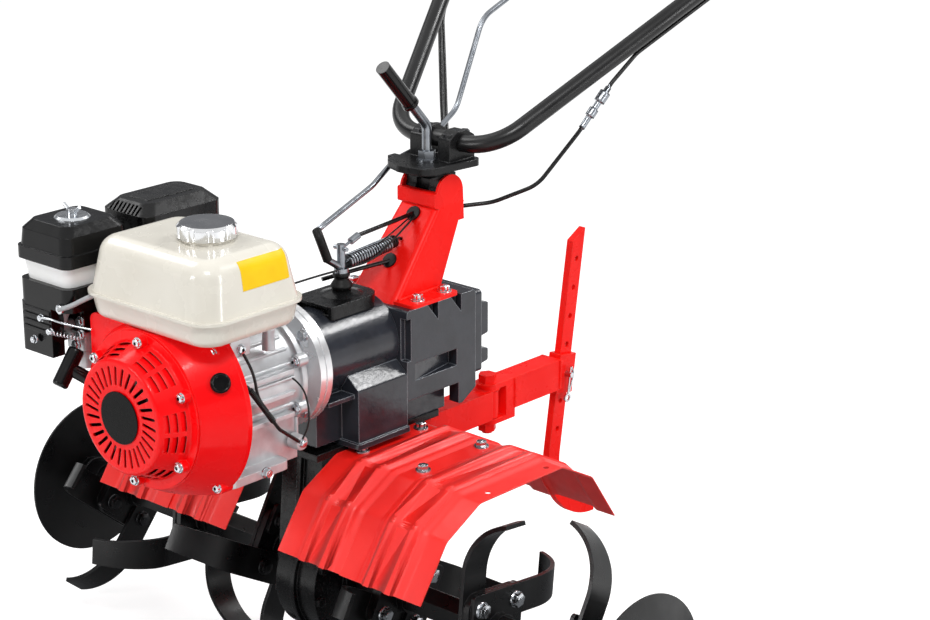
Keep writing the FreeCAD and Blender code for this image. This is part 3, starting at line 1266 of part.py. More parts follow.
def column_head():
    """Casting that tilts in the column's ears and carries the turntable on its stud."""
    half = COLUMN_TOP_HALF - COLUMN_WALL - HEAD_GAP
    base = HEAD_TOP_Z - HEAD_DISC
    barrel = rod((-half, PIVOT_Y, PIVOT_Z), (half, PIVOT_Y, PIVOT_Z), HEAD_BARREL_R)
    neck = plate_x([(PIVOT_Y - HEAD_NECK_HALF, PIVOT_Z, 0), (PIVOT_Y + HEAD_NECK_HALF, PIVOT_Z, 0),
                    (PIVOT_Y + HEAD_NECK_HALF, base, 0), (SWIVEL_Y - HEAD_TOP_R, base, 0),
                    (PIVOT_Y - HEAD_NECK_HALF, base - HEAD_DISC, 0)], -half, half)
    disc = rod((0, SWIVEL_Y, base), (0, SWIVEL_Y, HEAD_TOP_Z), HEAD_TOP_R)
    end = COLUMN_TOP_HALF - EAR_SKIN - HEAD_GAP / 2
    pin = rod((-end, PIVOT_Y, PIVOT_Z), (end, PIVOT_Y, PIVOT_Z), PIVOT_BOLT_R)
    stud = rod((0, SWIVEL_Y, base), (0, SWIVEL_Y, STUD_TOP_Z), STUD_R)
    body = union([barrel, neck, disc, pin, stud])
    groove = box(-half * 0.4, half * 0.4, SWIVEL_Y - HEAD_TOP_R * 2, PIVOT_Y - HEAD_NECK_HALF * 0.7,
                 PIVOT_Z, base - HEAD_DISC)
    return body.cut(groove)


def handlebar_head():
    """Turntable with two saddles that clamp the handlebar, and an eye that guides the shift rod."""
    z0 = HEAD_TOP_Z + TURNTABLE_GAP
    z1 = z0 + TURNTABLE_THICK
    nose = SWIVEL_Y - HEAD_NOSE
    rear = LOOP_Y + SADDLE_HALF_Y
    plate = plate_z([(-HEAD_WIDE, nose + 8, 18), (-10, nose - 4, 18), (HEAD_WIDE - 4, nose, 22),
                     (HEAD_WIDE + 8, rear, 10), (-HEAD_WIDE - 8, rear, 10)], z0, z1)
    rim = plate_z([(-HEAD_WIDE, nose + 8, 18), (-10, nose - 4, 18), (HEAD_WIDE - 4, nose, 22),
                   (HEAD_WIDE - 4, nose + 14, 0), (-HEAD_WIDE, nose + 20, 0)], z0, z1)
    crest = LOOP_Z + TUBE_R + SADDLE_CAP
    saddle = plate_x([(LOOP_Y - SADDLE_HALF_Y, z1 - 2, 0), (rear, z1 - 2, 0),
                      (rear, LOOP_Z + TUBE_R * 0.6, 5),
                      (LOOP_Y + TUBE_R * 0.7, crest, 5), (LOOP_Y - TUBE_R * 0.7, crest, 5),
                      (LOOP_Y - SADDLE_HALF_Y, LOOP_Z + TUBE_R * 0.6, 5)], SADDLE_X0, SADDLE_X1)
    eye_x = EYE_PLACE[0]
    lug = box(eye_x - EYE_HALF, eye_x + EYE_HALF, EYE_PLACE[1] - EYE_HALF, EYE_PLACE[1] + EYE_HALF,
              EYE_PLACE[2] - EYE_HALF, z1)
    pieces = [plate, rim, saddle, mirrored(saddle), lug]
    for side in (-1, 1):
        for y in (LOOP_Y - SADDLE_HALF_Y + BOSS_R, LOOP_Y + SADDLE_HALF_Y - BOSS_R):
            x = side * (SADDLE_X0 + SADDLE_X1) / 2
            pieces.append(hexagon((x, y, LOOP_Z + TUBE_R * 0.6 - 2), (0, 0, 1), M8_ACROSS, M8_HEAD + 2))
    body = union(pieces)
    body = body.cut(rod((-HEAD_WIDE * 2, LOOP_Y, LOOP_Z), (HEAD_WIDE * 2, LOOP_Y, LOOP_Z), TUBE_R))
    body = body.cut(shift_path_solid(SHIFT_ROD_R + EYE_CLEARANCE))
    return body.cut(rod((0, SWIVEL_Y, z0), (0, SWIVEL_Y, z1), STUD_R + PIVOT_RUNNING))


def handlebar_tube():
    knee = ARM_KNEE
    end = ARM_END
    points = [(-end[0], end[1], end[2]), (-knee[0], knee[1], knee[2], ARM_BEND_R),
              (-LOOP_HALF, LOOP_Y, LOOP_Z, TUBE_BEND_R), (LOOP_HALF, LOOP_Y, LOOP_Z, TUBE_BEND_R),
              (knee[0], knee[1], knee[2], ARM_BEND_R), end]
    return swept(points, TUBE_R, TUBE_R - TUBE_WALL)


def arm_end_frame():
    """End of the left arm and the direction of its last run."""
    end = V(*ARM_END)
    return end, (end - V(*ARM_KNEE)).normalize()


def grip():
    end, along = arm_end_frame()
    start = end - along * GRIP_LENGTH
    stop = end + along * GRIP_CAP
    sleeve = rod(tuple(start), tuple(stop), GRIP_R)
    return sleeve.cut(rod(tuple(start), tuple(end), TUBE_R))


def under_arm(share, aside):
    """Point where a cable lies under the left arm, at a share of its run from the loop to the knee."""
    loop = V(LOOP_HALF, LOOP_Y, LOOP_Z)
    run = V(*ARM_KNEE) - loop
    return tuple(loop + run * share + cable_drop(run, aside))


def cable_drop(run, aside):
    """From a tube's axis along the run to a cable that lies below it."""
    along = V(run.x, run.y, run.z).normalize()
    across = along.cross(V(0, 0, 1)).normalize()
    down = across.cross(along) * -1
    return down * (TUBE_R + CABLE_R + CABLE_SLACK) + across * aside


def cable_start(aside):
    """The cable's first run: from the hand lever's clip to the arm's knee."""
    end, along = arm_end_frame()
    clip = end - along * (GRIP_LENGTH + LEVER_GAP + CLIP_LENGTH)
    knee = V(*ARM_KNEE) + cable_drop(along + V(*ARM_KNEE) - V(LOOP_HALF, LOOP_Y, LOOP_Z), aside)
    start = clip + cable_drop(along, aside) - along * CLAMP_FIT
    return [tuple(start), tuple(knee) + (ARM_BEND_R - TUBE_R - CABLE_R,)]


def hand_lever():
    """Hand lever hinged on a clip round the left arm, just ahead of the grip."""
    end, along = arm_end_frame()
    down = cable_drop(along, 0).normalize()
    root = end - along * (GRIP_LENGTH + LEVER_GAP + CLIP_LENGTH)
    clip = rod(tuple(root), tuple(root + along * CLIP_LENGTH), TUBE_R + CLIP_WALL)
    pieces = [clip]
    for aside in (0, CABLE_PITCH):
        seat = root + cable_drop(along, aside)
        pieces.append(rod(tuple(seat), tuple(seat + along * CLIP_LENGTH), CABLE_R * 1.7))
    hinge = root + along * (CLIP_LENGTH / 2) + down * (TUBE_R + CLIP_WALL)
    elbow = hinge + down * LEVER_DROP * 0.6 + along * CLIP_LENGTH
    tip = end - along * CLIP_LENGTH + down * LEVER_DROP
    pieces.append(swept([tuple(hinge), tuple(elbow) + (LEVER_DROP * 0.3,), tuple(tip)], LEVER_R))
    return union(pieces).cut(rod(tuple(root), tuple(root + along * CLIP_LENGTH), TUBE_R))


def clamp_lever():
    """Cranked lever that locks the turntable down on its stud."""
    z0 = HEAD_TOP_Z + TURNTABLE_GAP + TURNTABLE_THICK
    fit = STUD_R + CLAMP_FIT
    washer = ring((0, SWIVEL_Y, z0), (0, SWIVEL_Y, z0 + WASHER_THICK), CLAMP_WASHER_R, fit)
    z = z0 + WASHER_THICK
    nut = hexagon((0, SWIVEL_Y, z), (0, 0, 1), CLAMP_ACROSS, CLAMP_NUT)
    nut = nut.cut(rod((0, SWIVEL_Y, z), (0, SWIVEL_Y, STUD_TOP_Z + 1), fit))
    arm = swept([(0, SWIVEL_Y, z + CLAMP_NUT), CLAMP_KNEE, CLAMP_END], CLAMP_ROD_R)
    return union([washer, nut, arm])


def clamp_grip():
    knee = V(*CLAMP_KNEE[:3])
    end = V(*CLAMP_END)
    along = (end - knee).normalize()
    start = end - along * CLAMP_GRIP_LENGTH
    sleeve = rod(tuple(start), tuple(end + along * GRIP_CAP / 2), CLAMP_GRIP_R)
    collar = rod(tuple(start), tuple(start + along * GRIP_CAP), CLAMP_GRIP_R + 2)
    return sleeve.fuse(collar).cut(rod(tuple(start), tuple(end), CLAMP_ROD_R))


# ---------------------------------------------------------------- shift and controls
def shift_tower():
    """Saddle casting on the clutch barrel that carries the shift lever's boot."""
    low = CRANK_Z + CLUTCH_R - TOWER_SINK
    block = plate_z([(-TOWER_HALF, TOWER_Y0, 5), (TOWER_HALF, TOWER_Y0, 5),
                     (TOWER_HALF, TOWER_Y1, TOWER_HALF * 0.7), (-TOWER_HALF, TOWER_Y1, TOWER_HALF * 0.7)],
                    low, TOWER_Z)
    channel = box(-TOWER_HALF + 6, TOWER_HALF - 6, TOWER_Y0, TOWER_Y0 + 8, TOWER_Z - 12, TOWER_Z - 4)
    dome = Part.makeCone(TOWER_HALF - 8, BOOT_R0, DOME_HEIGHT, V(0, BOOT_Y, TOWER_Z))
    body = union([block.cut(channel), dome])
    return body.cut(rod((0, ADAPTER_Y1, CRANK_Z), (0, GEARBOX_Y0, CRANK_Z), CLUTCH_R))


def shift_boot():
    """Rubber boot: a bulge and a bead under its collar."""
    z = TOWER_Z + DOME_HEIGHT
    bead = BOOT_R1 + 3
    profile = [(0, z, 0, 0), (BOOT_R0 - 2, z, 0, 0), (BOOT_R0 + 2, z + 6, 0, 3),
               (BOOT_R1, BOOT_TOP_Z - 8, 0, 3), (bead, BOOT_TOP_Z - 5, 0, 2), (bead, BOOT_TOP_Z, 0, 2),
               (0, BOOT_TOP_Z, 0, 0)]
    wire = corner_wire([(p[0], 0, p[1], p[3]) for p in profile])
    boot = Part.Face(wire).revolve(V(0, 0, 0), V(0, 0, 1), 360)
    boot.translate(V(0, BOOT_Y, 0))
    return boot


def shift_lever():
    """Upright clutch post and the cranked shift lever, both rising from the boot."""
    post = rod((0, BOOT_Y, BOOT_TOP_Z), (0, BOOT_Y, POST_TOP_Z), POST_R)
    cross_z = POST_TOP_Z - POST_R
    cross = rod((-POST_R * 2, BOOT_Y, cross_z), (POST_R * 2, BOOT_Y, cross_z), POST_R * 0.5)
    foot = rod((0, BOOT_Y, BOOT_TOP_Z), (0, BOOT_Y, BOOT_TOP_Z + POST_R), POST_R * 1.7)
    arm = rod((0, BOOT_Y, BOOT_TOP_Z + POST_R), LINK_LOW, ARM_R)
    return union([post, cross, foot, arm, post_adjuster()]).cut(swept(UPPER_CABLE, CABLE_R))


def shift_link():
    """Rubber elbow that joins the shift lever to its long rod."""
    link = swept([LINK_LOW, LINK_KNEE, SHIFT_ROUTE[0]], LINK_R)
    return link.cut(shift_lever()).cut(shift_path_solid(SHIFT_ROD_R))


def shift_path_solid(radius):
    return swept(SHIFT_ROUTE, radius)


def shift_rod(start, stop):
    """The stretch of the shift rod between two places along Y."""
    wide = ARM_END[2]
    return shift_path_solid(SHIFT_ROD_R).common(box(-wide, wide, start, stop, 0, wide))


def shift_knob():
    end = V(*SHIFT_ROUTE[-1])
    along = (end - V(*SHIFT_ROUTE[-2][:3])).normalize()
    centre = end + along * KNOB_R * 0.3
    ball = Part.makeSphere(KNOB_R, centre)
    neck = rod(tuple(end - along * KNOB_R * 1.3), tuple(centre), SHIFT_ROD_R * 2)
    return ball.fuse(neck).cut(shift_path_solid(SHIFT_ROD_R))


def return_spring():
    """Coil spring from the clutch post to a hook in the column's face."""
    start = V(0, BOOT_Y + POST_R * 1.7, SPRING_Z0)
    end = V(0, face_point(HOOK_Z) - SPRING_STANDOFF, HOOK_Z)
    along = (end - start).normalize()
    length = (end - start).Length
    pieces = [rod(tuple(start), tuple(end), SPRING_R - SPRING_WIRE)]
    count = int(length / SPRING_PITCH)
    for k in range(count):
        at = start + along * (k + 0.2) * SPRING_PITCH
        pieces.append(rod(tuple(at), tuple(at + along * SPRING_WIRE), SPRING_R))
    inside = V(0, face_point(HOOK_Z), HOOK_Z) - face_normal() * COLUMN_WALL * 1.2
    outside = V(0, face_point(HOOK_Z), HOOK_Z) + face_normal() * COLUMN_WALL
    hook = rod(tuple(end), tuple(outside), SPRING_WIRE * 0.9)
    hook = hook.fuse(rod(tuple(outside), tuple(inside), SPRING_WIRE * 0.9))
    eye = rod((0, BOOT_Y + POST_R, SPRING_Z0), tuple(start), SPRING_WIRE * 0.9)
    return union(pieces + [hook, eye])


def chassis_cables():
    """Clutch cable to the upper grommet, lower cable to the engine, and the stop switch lead."""
    return Part.makeCompound([swept(route, CABLE_R) for route in (UPPER_CABLE, ENGINE_CABLE)]
                             + [swept(ENGINE_LEAD, LEAD_R)])


def post_adjuster():
    """Threaded adjuster between the clutch post and its cable."""
    start = V(0, BOOT_Y + POST_R * 0.5, POST_TOP_Z - POST_R)
    end = V(*UPPER_CABLE[0])
    middle = start + (end - start) * 0.5
    return rod(tuple(start), tuple(end), CABLE_R * 0.7).fuse(rod(tuple(middle), tuple(end), CABLE_R * 1.7))


def clutch_cable():
    """From the left hand lever, under the arm and down to the column, with its barrel adjuster."""
    route = cable_start(0) + [under_arm(CLUTCH_TIE, 0) + (CABLE_BEND_R,)] + list(CLUTCH_DROP)
    pieces = [swept(route, CABLE_R)]
    top = V(*CLUTCH_DROP[0][:3])
    run = V(*CLUTCH_DROP[1][:3]) - top
    for low, high, radius in ADJUSTER_STEPS:
        pieces.append(rod(tuple(top + run * low), tuple(top + run * high), radius))
    return union(pieces)


def control_cables():
    """Two cables from the right hand lever, under the arm and down to the column's open rear."""
    cables = []
    for aside, drop in zip((0, CABLE_PITCH), CONTROL_DROPS):
        route = cable_start(aside) + [under_arm(CONTROL_TIE, aside) + (CABLE_BEND_R,)]
        right = [(-p[0],) + tuple(p[1:]) for p in route]
        cables.append(swept(right + list(drop), CABLE_R))
    return Part.makeCompound(cables)


# ---------------------------------------------------------------- rear hitch
def hitch_bracket():
    """Box beam from the gear case's plate to the upright barrel that the drawbar swings on."""
    half = BRACKET_HALF
    wall = BRACKET_WALL
    rear = HITCH_Y - HITCH_R * 0.6
    hanger_y1 = BRACKET_Y0 + HANGER_LENGTH
    tube = box(-half, half, BRACKET_Y0, rear, BRACKET_Z0, BRACKET_Z1)
    hollow = box(-half + wall, half - wall, BRACKET_Y0, HITCH_Y - HITCH_R * 1.4,
                 BRACKET_Z0 + wall, BRACKET_Z1 - wall)
    barrel = rod((0, HITCH_Y, BRACKET_Z0), (0, HITCH_Y, BRACKET_Z1), HITCH_R)
    hanger = box(-half - wall, half + wall, BRACKET_Y0, hanger_y1,
                 BRACKET_Z1 - wall, CASE_PLATE_Z - CASE_PLATE_THICK)
    body = union([tube.cut(hollow), barrel, hanger])
    return body.cut(rod((0, HITCH_Y, BRACKET_Z0), (0, HITCH_Y, BRACKET_Z1), HITCH_PIN_R + HITCH_RUNNING))


def drawbar():
    """Forked block on the hitch pin, a box beam, and the welded socket of the depth bar."""
    half = DRAWBAR_HALF
    wall = DRAWBAR_WALL
    z0 = BRACKET_Z0 - YOKE_GAP - YOKE_LOWER
    z1 = BRACKET_Z1 + YOKE_GAP + YOKE_THICK
    low = z0 + BEAM_RISE
    front = HITCH_Y + HITCH_R + YOKE_CLEARANCE
    block = box(-half, half, front, front + BLOCK_LENGTH, z0, z1)
    beam = box(-half, half, front + BLOCK_LENGTH, DRAWBAR_Y1, low, z1)
    hollow = box(-half + wall, half - wall, front + BLOCK_LENGTH, DRAWBAR_Y1, low + wall, z1 - wall)
    pieces = [block, beam.cut(hollow)]
    for bottom, top in ((z0, z0 + YOKE_LOWER), (z1 - YOKE_THICK, z1)):
        pieces.append(plate_z([(-half, HITCH_Y - half, half - 1), (half, HITCH_Y - half, half - 1),
                               (half, front, 0), (-half, front, 0)], bottom, top))
    pin_low = z0 - M12_NUT - 4
    pieces.append(rod((0, HITCH_Y, pin_low), (0, HITCH_Y, z1 + 2), HITCH_PIN_R))
    pieces.append(hexagon((0, HITCH_Y, z1), (0, 0, 1), M16_ACROSS, M12_NUT))
    pieces.append(hexagon((0, HITCH_Y, z0 - M12_NUT), (0, 0, 1), M16_ACROSS, M12_NUT))
    middle = (SOCKET_Z0 + SOCKET_Z1) / 2
    deep = (SOCKET_Z1 - SOCKET_Z0) / 2
    reach_y = BAR_Y / 2 + BAR_FIT + SOCKET_WALL
    reach_x = BAR_X / 2 + BAR_FIT + SOCKET_WALL
    socket = bar_place(box(-reach_x, reach_x, -reach_y, reach_y, -deep, deep))
    pieces.append(socket)
    pad = box(-half, half, DRAWBAR_Y1 - wall, DRAWBAR_Y1, low, z1)
    pieces.append(pad)
    gusset = box(-reach_x, reach_x, DRAWBAR_Y1 - wall, BAR_MID_Y - BAR_Y / 2,
                 middle - deep * 0.6, middle + deep * 0.6)
    pieces.append(gusset)
    body = union(pieces)
    return body.cut(bar_blank(BAR_FIT, BAR_UP, BAR_DOWN)).cut(pin_hole())


def bar_place(shape):
    """Takes a shape modelled about the socket's middle with the bar upright, and leans it."""
    middle = (SOCKET_Z0 + SOCKET_Z1) / 2
    shape.rotate(V(0, 0, 0), V(1, 0, 0), -BAR_LEAN)
    shape.translate(V(0, BAR_MID_Y, middle))
    return shape


def bar_blank(fit, up, down):
    half_x = BAR_X / 2 + fit
    half_y = BAR_Y / 2 + fit
    return bar_place(box(-half_x, half_x, -half_y, half_y, -down, up))


def pin_hole():
    return bar_place(rod((-SOCKET_REACH, 0, 0), (SOCKET_REACH, 0, 0), BAR_HOLE_R))


def hitch_pin():
    """Pin through socket and bar, with its head on the right and a hairpin on the left."""
    face = BAR_X / 2 + BAR_FIT + SOCKET_WALL
    shank = rod((-face - PIN_HEAD, 0, 0), (face + PIN_END, 0, 0), BAR_HOLE_R - PIN_FIT)
    head = rod((-face - PIN_HEAD, 0, 0), (-face, 0, 0), BAR_HOLE_R * 1.8)
    x = face + PIN_END * 0.6
    wire = HAIRPIN_WIRE
    leg = rod((x, 0, HAIRPIN_UP), (x, 0, -HAIRPIN_DOWN), wire)
    arm = swept([(x, 2, HAIRPIN_UP), (x, BAR_HOLE_R + 5, 0, 6), (x, 2, -HAIRPIN_DOWN)], wire)
    loop = ring((x - wire, 0, -HAIRPIN_DOWN - HAIRPIN_EYE), (x + wire, 0, -HAIRPIN_DOWN - HAIRPIN_EYE),
                HAIRPIN_EYE, HAIRPIN_EYE - 2 * wire)
    return bar_place(union([shank, head, leg, arm, loop]))


def depth_bar():
    """Flat bar with holes at an even pitch, a slanted top and a foot curved to the rear."""
    half_x = BAR_X / 2
    half_y = BAR_Y / 2
    turn = math.radians(BAR_FOOT_TURN)
    low = -BAR_DOWN

    def foot_point(radius, angle):
        return V(-half_x, BAR_FOOT_R - radius * math.cos(angle), low - radius * math.sin(angle))

    outer = BAR_FOOT_R + half_y
    inner = BAR_FOOT_R - half_y
    slant = BAR_UP - BAR_SLANT
    edges = [
        Part.LineSegment(V(-half_x, -half_y, slant), V(-half_x, -half_y, low)).toShape(),
        Part.Arc(foot_point(outer, 0), foot_point(outer, turn / 2), foot_point(outer, turn)).toShape(),
        Part.LineSegment(foot_point(outer, turn), foot_point(inner, turn)).toShape(),
        Part.Arc(foot_point(inner, turn), foot_point(inner, turn / 2), foot_point(inner, 0)).toShape(),
        Part.LineSegment(V(-half_x, half_y, low), V(-half_x, half_y, BAR_UP)).toShape(),
        Part.LineSegment(V(-half_x, half_y, BAR_UP), V(-half_x, -half_y, slant)).toShape(),
    ]
    bar = Part.Face(Part.Wire(edges)).extrude(V(BAR_X, 0, 0))
    for k in range(-int(BAR_DOWN / BAR_HOLE_PITCH), int(slant / BAR_HOLE_PITCH) + 1):
        z = k * BAR_HOLE_PITCH
        bar = bar.cut(rod((-half_x, 0, z), (half_x, 0, z), BAR_HOLE_R))
    return bar_place(bar)


# ---------------------------------------------------------------- assembly
def build():
    eye_front = EYE_PLACE[1] - EYE_HALF - EYE_CLEARANCE
    tubes = rotor_tubes()
    shaft = union([rotor_shaft()] + tubes + [mirrored(tube) for tube in tubes])
    nodes = {
        "crankcase": crankcase(),
        "cylinder_block": cylinder_block(),
        "fan_shroud": fan_shroud(),
        "recoil_cover": recoil_cover(),
        "recoil_badge": recoil_badge(),
        "stop_switch": stop_switch(),
        "starter_grip": starter_grip(),
        "fuel_tank": fuel_tank(),
        "fuel_cap": fuel_cap(),
        "air_cleaner_base": air_cleaner_base(),
        "air_cleaner_band": air_cleaner_band(),
        "air_cleaner_cover": air_cleaner_cover(),
        "air_cleaner_nut": cleaner_nut(),
        "carburettor": carburettor(),
        "choke_levers": choke_levers(),
        "muffler": muffler(),
        "muffler_guard": muffler_guard(),
        "adapter_ring": adapter_ring(),
        "clutch_housing": clutch_housing(),
        "gearbox_housing": gearbox_housing(),
        "gear_case": gear_case(),
        "fender_inner_left": fender_inner(),
        "fender_inner_right": mirrored(fender_inner()),
        "fender_outer_left": fender_outer(),
        "fender_outer_right": mirrored(fender_outer()),
        "fender_stay_left": fender_stay(),
        "fender_stay_right": mirrored(fender_stay()),
        "rotor_shaft": shaft,
        "disc_left": side_disc(),
        "disc_right": mirrored(side_disc()),
        "column": column(),
        "column_head": column_head(),
        "handlebar_head": handlebar_head(),
        "handlebar_tube": handlebar_tube(),
        "grip_left": grip(),
        "grip_right": mirrored(grip()),
        "hand_levers": Part.makeCompound([hand_lever(), mirrored(hand_lever())]),
        "clamp_lever": clamp_lever(),
        "clamp_grip": clamp_grip(),
        "shift_tower": shift_tower(),
        "shift_boots": Part.makeCompound([shift_boot(), shift_link()] + column_grommets()),
        "shift_lever": shift_lever(),
        "shift_rod_lower": shift_rod(SHIFT_ROUTE[0][1], SHIFT_ROUTE[1][1]),
        "shift_rod_middle": shift_rod(SHIFT_ROUTE[1][1], eye_front),
        "shift_rod_upper": shift_rod(eye_front, ARM_END[1]),
        "shift_knob": shift_knob(),
        "return_spring": return_spring(),
        "chassis_cables": chassis_cables(),
        "clutch_cable": clutch_cable(),
        "control_cables": control_cables(),
        "hitch_bracket": hitch_bracket(),
        "drawbar": drawbar(),
        "hitch_pin": hitch_pin(),
        "depth_bar": depth_bar(),
    }
    for k, name in enumerate(("inner", "middle", "outer")):
        station = FLANGE_STATIONS[k]
        nodes["tines_" + name + "_left"] = tine_set(station, TINE_TURN_LEFT[k], TINE_SIDE_LEFT[k])
        nodes["tines_" + name + "_right"] = tine_set(-station, TINE_TURN_RIGHT[k], TINE_SIDE_RIGHT[k])
    return nodes


def main():
    os.makedirs("parts", exist_ok=True)
    shift = V(0, -MIDDLE_Y, AXLE_HEIGHT)
    for name, shape in build().items():
        shape = shape.copy()
        shape.translate(shift)
        shape.exportStep("parts/" + name + ".step")


main()
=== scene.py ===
import math

import bmesh
import bpy
from mathutils import Matrix, Vector
from mathutils.bvhtree import BVHTree


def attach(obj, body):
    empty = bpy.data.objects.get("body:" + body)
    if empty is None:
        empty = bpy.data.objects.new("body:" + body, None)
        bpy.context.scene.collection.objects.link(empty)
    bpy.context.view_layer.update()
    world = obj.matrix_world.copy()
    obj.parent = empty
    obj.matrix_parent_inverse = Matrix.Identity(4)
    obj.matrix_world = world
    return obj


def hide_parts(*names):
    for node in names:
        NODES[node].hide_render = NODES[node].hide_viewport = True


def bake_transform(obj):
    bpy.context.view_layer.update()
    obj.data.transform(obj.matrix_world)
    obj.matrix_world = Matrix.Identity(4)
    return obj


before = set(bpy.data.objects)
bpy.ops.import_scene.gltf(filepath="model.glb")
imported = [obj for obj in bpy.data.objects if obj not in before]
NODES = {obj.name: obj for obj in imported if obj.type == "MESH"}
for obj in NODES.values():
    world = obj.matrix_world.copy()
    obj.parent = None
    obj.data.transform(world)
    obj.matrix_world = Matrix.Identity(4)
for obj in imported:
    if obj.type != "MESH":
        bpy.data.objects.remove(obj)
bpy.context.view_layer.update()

# ---------------- places
AXLE_AHEAD = 215.741  # mm, rotor axle ahead of the middle of the tiller
AXLE_HEIGHT = 175.46  # mm, rotor axle above the floor


def at(x, y, z):
    """A place in millimetres from the middle of the rotor axle, as metres in the tiller's frame."""
    return Vector((x, y - AXLE_AHEAD, z + AXLE_HEIGHT)) / 1000


def mm(value):
    return value / 1000


FORWARD = (0, -1, 0)
REARWARD = (0, 1, 0)
UPWARD = (0, 0, 1)
DOWNWARD = (0, 0, -1)
LEFTWARD = (1, 0, 0)
RIGHTWARD = (-1, 0, 0)


# ---------------- view and light
CAMERA_PLACE = at(2249.5, -2242.778, 1431.09)
CAMERA_AZIMUTH = math.radians(41.9)
CAMERA_PITCH = math.radians(18.2)
CAMERA_LENS = 93.85
SENSOR_WIDTH = 36
IMAGE_SIZE = (930, 620)

ROOM_STRENGTH = 0.5  # light that comes from all round
FLOOR_REACH = 30  # m
FLOOR_GLOW = 0.74  # lifts the floor's own grey to white where it is seen
# a grey band round the studio, seen only in reflections: painted dark reflections on gloss and chrome
REFLECTED_BAND_RADIUS = 7  # m
REFLECTED_BAND_HEIGHTS = (1.3, 4.2)  # m
# a grey card under the tiller, seen only in reflections as a painted shadow on the floor
CARD_RADIUS = 0.9  # m
CARD_HEIGHT = 0.004  # m
AIM = (0, 0, 0.3)  # m, the middle of the tiller, where most lamps point


def put(name, data):
    """Puts a camera, lamp, mesh or curve in the scene as an object."""
    thing = bpy.data.objects.new(name, data)
    bpy.context.scene.collection.objects.link(thing)
    return thing


def set_camera():
    """The eye stands ahead of the tiller's left side and looks down on it."""
    data = bpy.data.cameras.new("camera")
    data.lens = CAMERA_LENS
    data.sensor_width = SENSOR_WIDTH
    camera = put("camera", data)
    camera.location = CAMERA_PLACE
    camera.rotation_euler = (math.pi / 2 - CAMERA_PITCH, 0, CAMERA_AZIMUTH)
    bpy.context.scene.camera = camera


def set_view():
    scene = bpy.context.scene
    scene.render.resolution_x, scene.render.resolution_y = IMAGE_SIZE
    scene.render.resolution_percentage = 100
    scene.view_settings.view_transform = "Standard"


def link(tree, source, socket):
    """Links an output, or the first output of a node, to a socket."""
    tree.links.new(getattr(source, "outputs", [source])[0], socket)


def add(tree, kind, settings=None, links=None):
    """Adds one node, sets its properties and sockets, and links its inputs."""
    node = tree.nodes.new(kind)
    for key, value in (settings or {}).items():
        if isinstance(key, str) and hasattr(node, key):
            setattr(node, key, value)
        else:
            node.inputs[key].default_value = value
    for key, source in (links or {}).items():
        link(tree, source, node.inputs[key])
    return node


def hexcolour(code):
    """An sRGB hex value as a linear colour."""
    parts = [int(code[i:i + 2], 16) / 255 for i in (1, 3, 5)]
    return (*[p / 12.92 if p <= 0.04045 else ((p + 0.055) / 1.055) ** 2.4 for p in parts], 1)


def background_rays(tree):
    """1 where the eye, a reflection or a refraction meets the background, and 0 for its light."""
    path = add(tree, "ShaderNodeLightPath")
    seen = add(tree, "ShaderNodeMath", {"operation": "MAXIMUM"},
               {0: path.outputs["Is Camera Ray"], 1: path.outputs["Is Glossy Ray"]})
    return add(tree, "ShaderNodeMath", {"operation": "MAXIMUM"},
               {0: seen, 1: path.outputs["Is Transmission Ray"]})


def set_studio():
    """A white studio: white where it is seen or mirrored, and a softer, darker-below room as a lamp."""
    world = bpy.data.worlds.new("white studio")
    bpy.context.scene.world = world
    world.use_nodes = True
    tree = world.node_tree
    tree.nodes.clear()
    split = add(tree, "ShaderNodeSeparateXYZ", {}, {0: add(tree, "ShaderNodeTexCoord")})
    height = add(tree, "ShaderNodeMapRange", {"From Min": -0.4, "From Max": 0.8},
                 {"Value": split.outputs["Z"]})
    shade = add(tree, "ShaderNodeMix",
                {"data_type": "RGBA", 6: hexcolour("#8E8F92"), 7: hexcolour("#FFFFFF")}, {0: height})
    room = add(tree, "ShaderNodeBackground", {"Strength": ROOM_STRENGTH}, {"Color": shade.outputs[2]})
    white = add(tree, "ShaderNodeBackground", {"Color": hexcolour("#FFFFFF"), "Strength": 1})
    mix = add(tree, "ShaderNodeMixShader", {}, {0: background_rays(tree), 1: room, 2: white})
    add(tree, "ShaderNodeOutputWorld", {}, {"Surface": mix})


def stage_sheet(name, points, faces, finish):
    """A sheet of the studio, and the empty tree of its own material."""
    mesh = bpy.data.meshes.new(name)
    mesh.from_pydata(points, [], faces)
    sheet = put(name, mesh)
    material = bpy.data.materials.new(finish)
    material.use_nodes = True
    material.node_tree.nodes.clear()
    mesh.materials.append(material)
    return sheet, material.node_tree


def lay_floor():
    """A plain white floor that keeps the tiller's shadow."""
    corners = [(x * FLOOR_REACH, y * FLOOR_REACH, 0) for x, y in ((-1, -1), (1, -1), (1, 1), (-1, 1))]
    _, tree = stage_sheet("studio_floor", corners, [(0, 1, 2, 3)], "white studio floor")
    matt = add(tree, "ShaderNodeBsdfDiffuse", {"Color": hexcolour("#CCCCCC")})
    seen = add(tree, "ShaderNodeMath", {"operation": "MULTIPLY", 1: FLOOR_GLOW},
               {0: background_rays(tree)})
    lift = add(tree, "ShaderNodeEmission", {"Color": hexcolour("#FFFFFF")}, {"Strength": seen})
    both = add(tree, "ShaderNodeAddShader", {}, {0: matt, 1: lift})
    add(tree, "ShaderNodeOutputMaterial", {}, {"Surface": both})


def circle(radius, height, steps):
    """Places on a level circle."""
    turns = [math.tau * k / steps for k in range(steps)]
    return [(radius * math.cos(turn), radius * math.sin(turn), height) for turn in turns]


def only_mirrored(name, points, faces, finish, grey):
    """A plain grey sheet that only reflections meet: a painted reflection."""
    sheet, tree = stage_sheet(name, points, faces, finish)
    glow = add(tree, "ShaderNodeEmission", {"Color": hexcolour(grey), "Strength": 1})
    add(tree, "ShaderNodeOutputMaterial", {}, {"Surface": glow})
    for kind in ("camera", "diffuse", "transmission", "volume_scatter", "shadow"):
        setattr(sheet, "visible_" + kind, False)


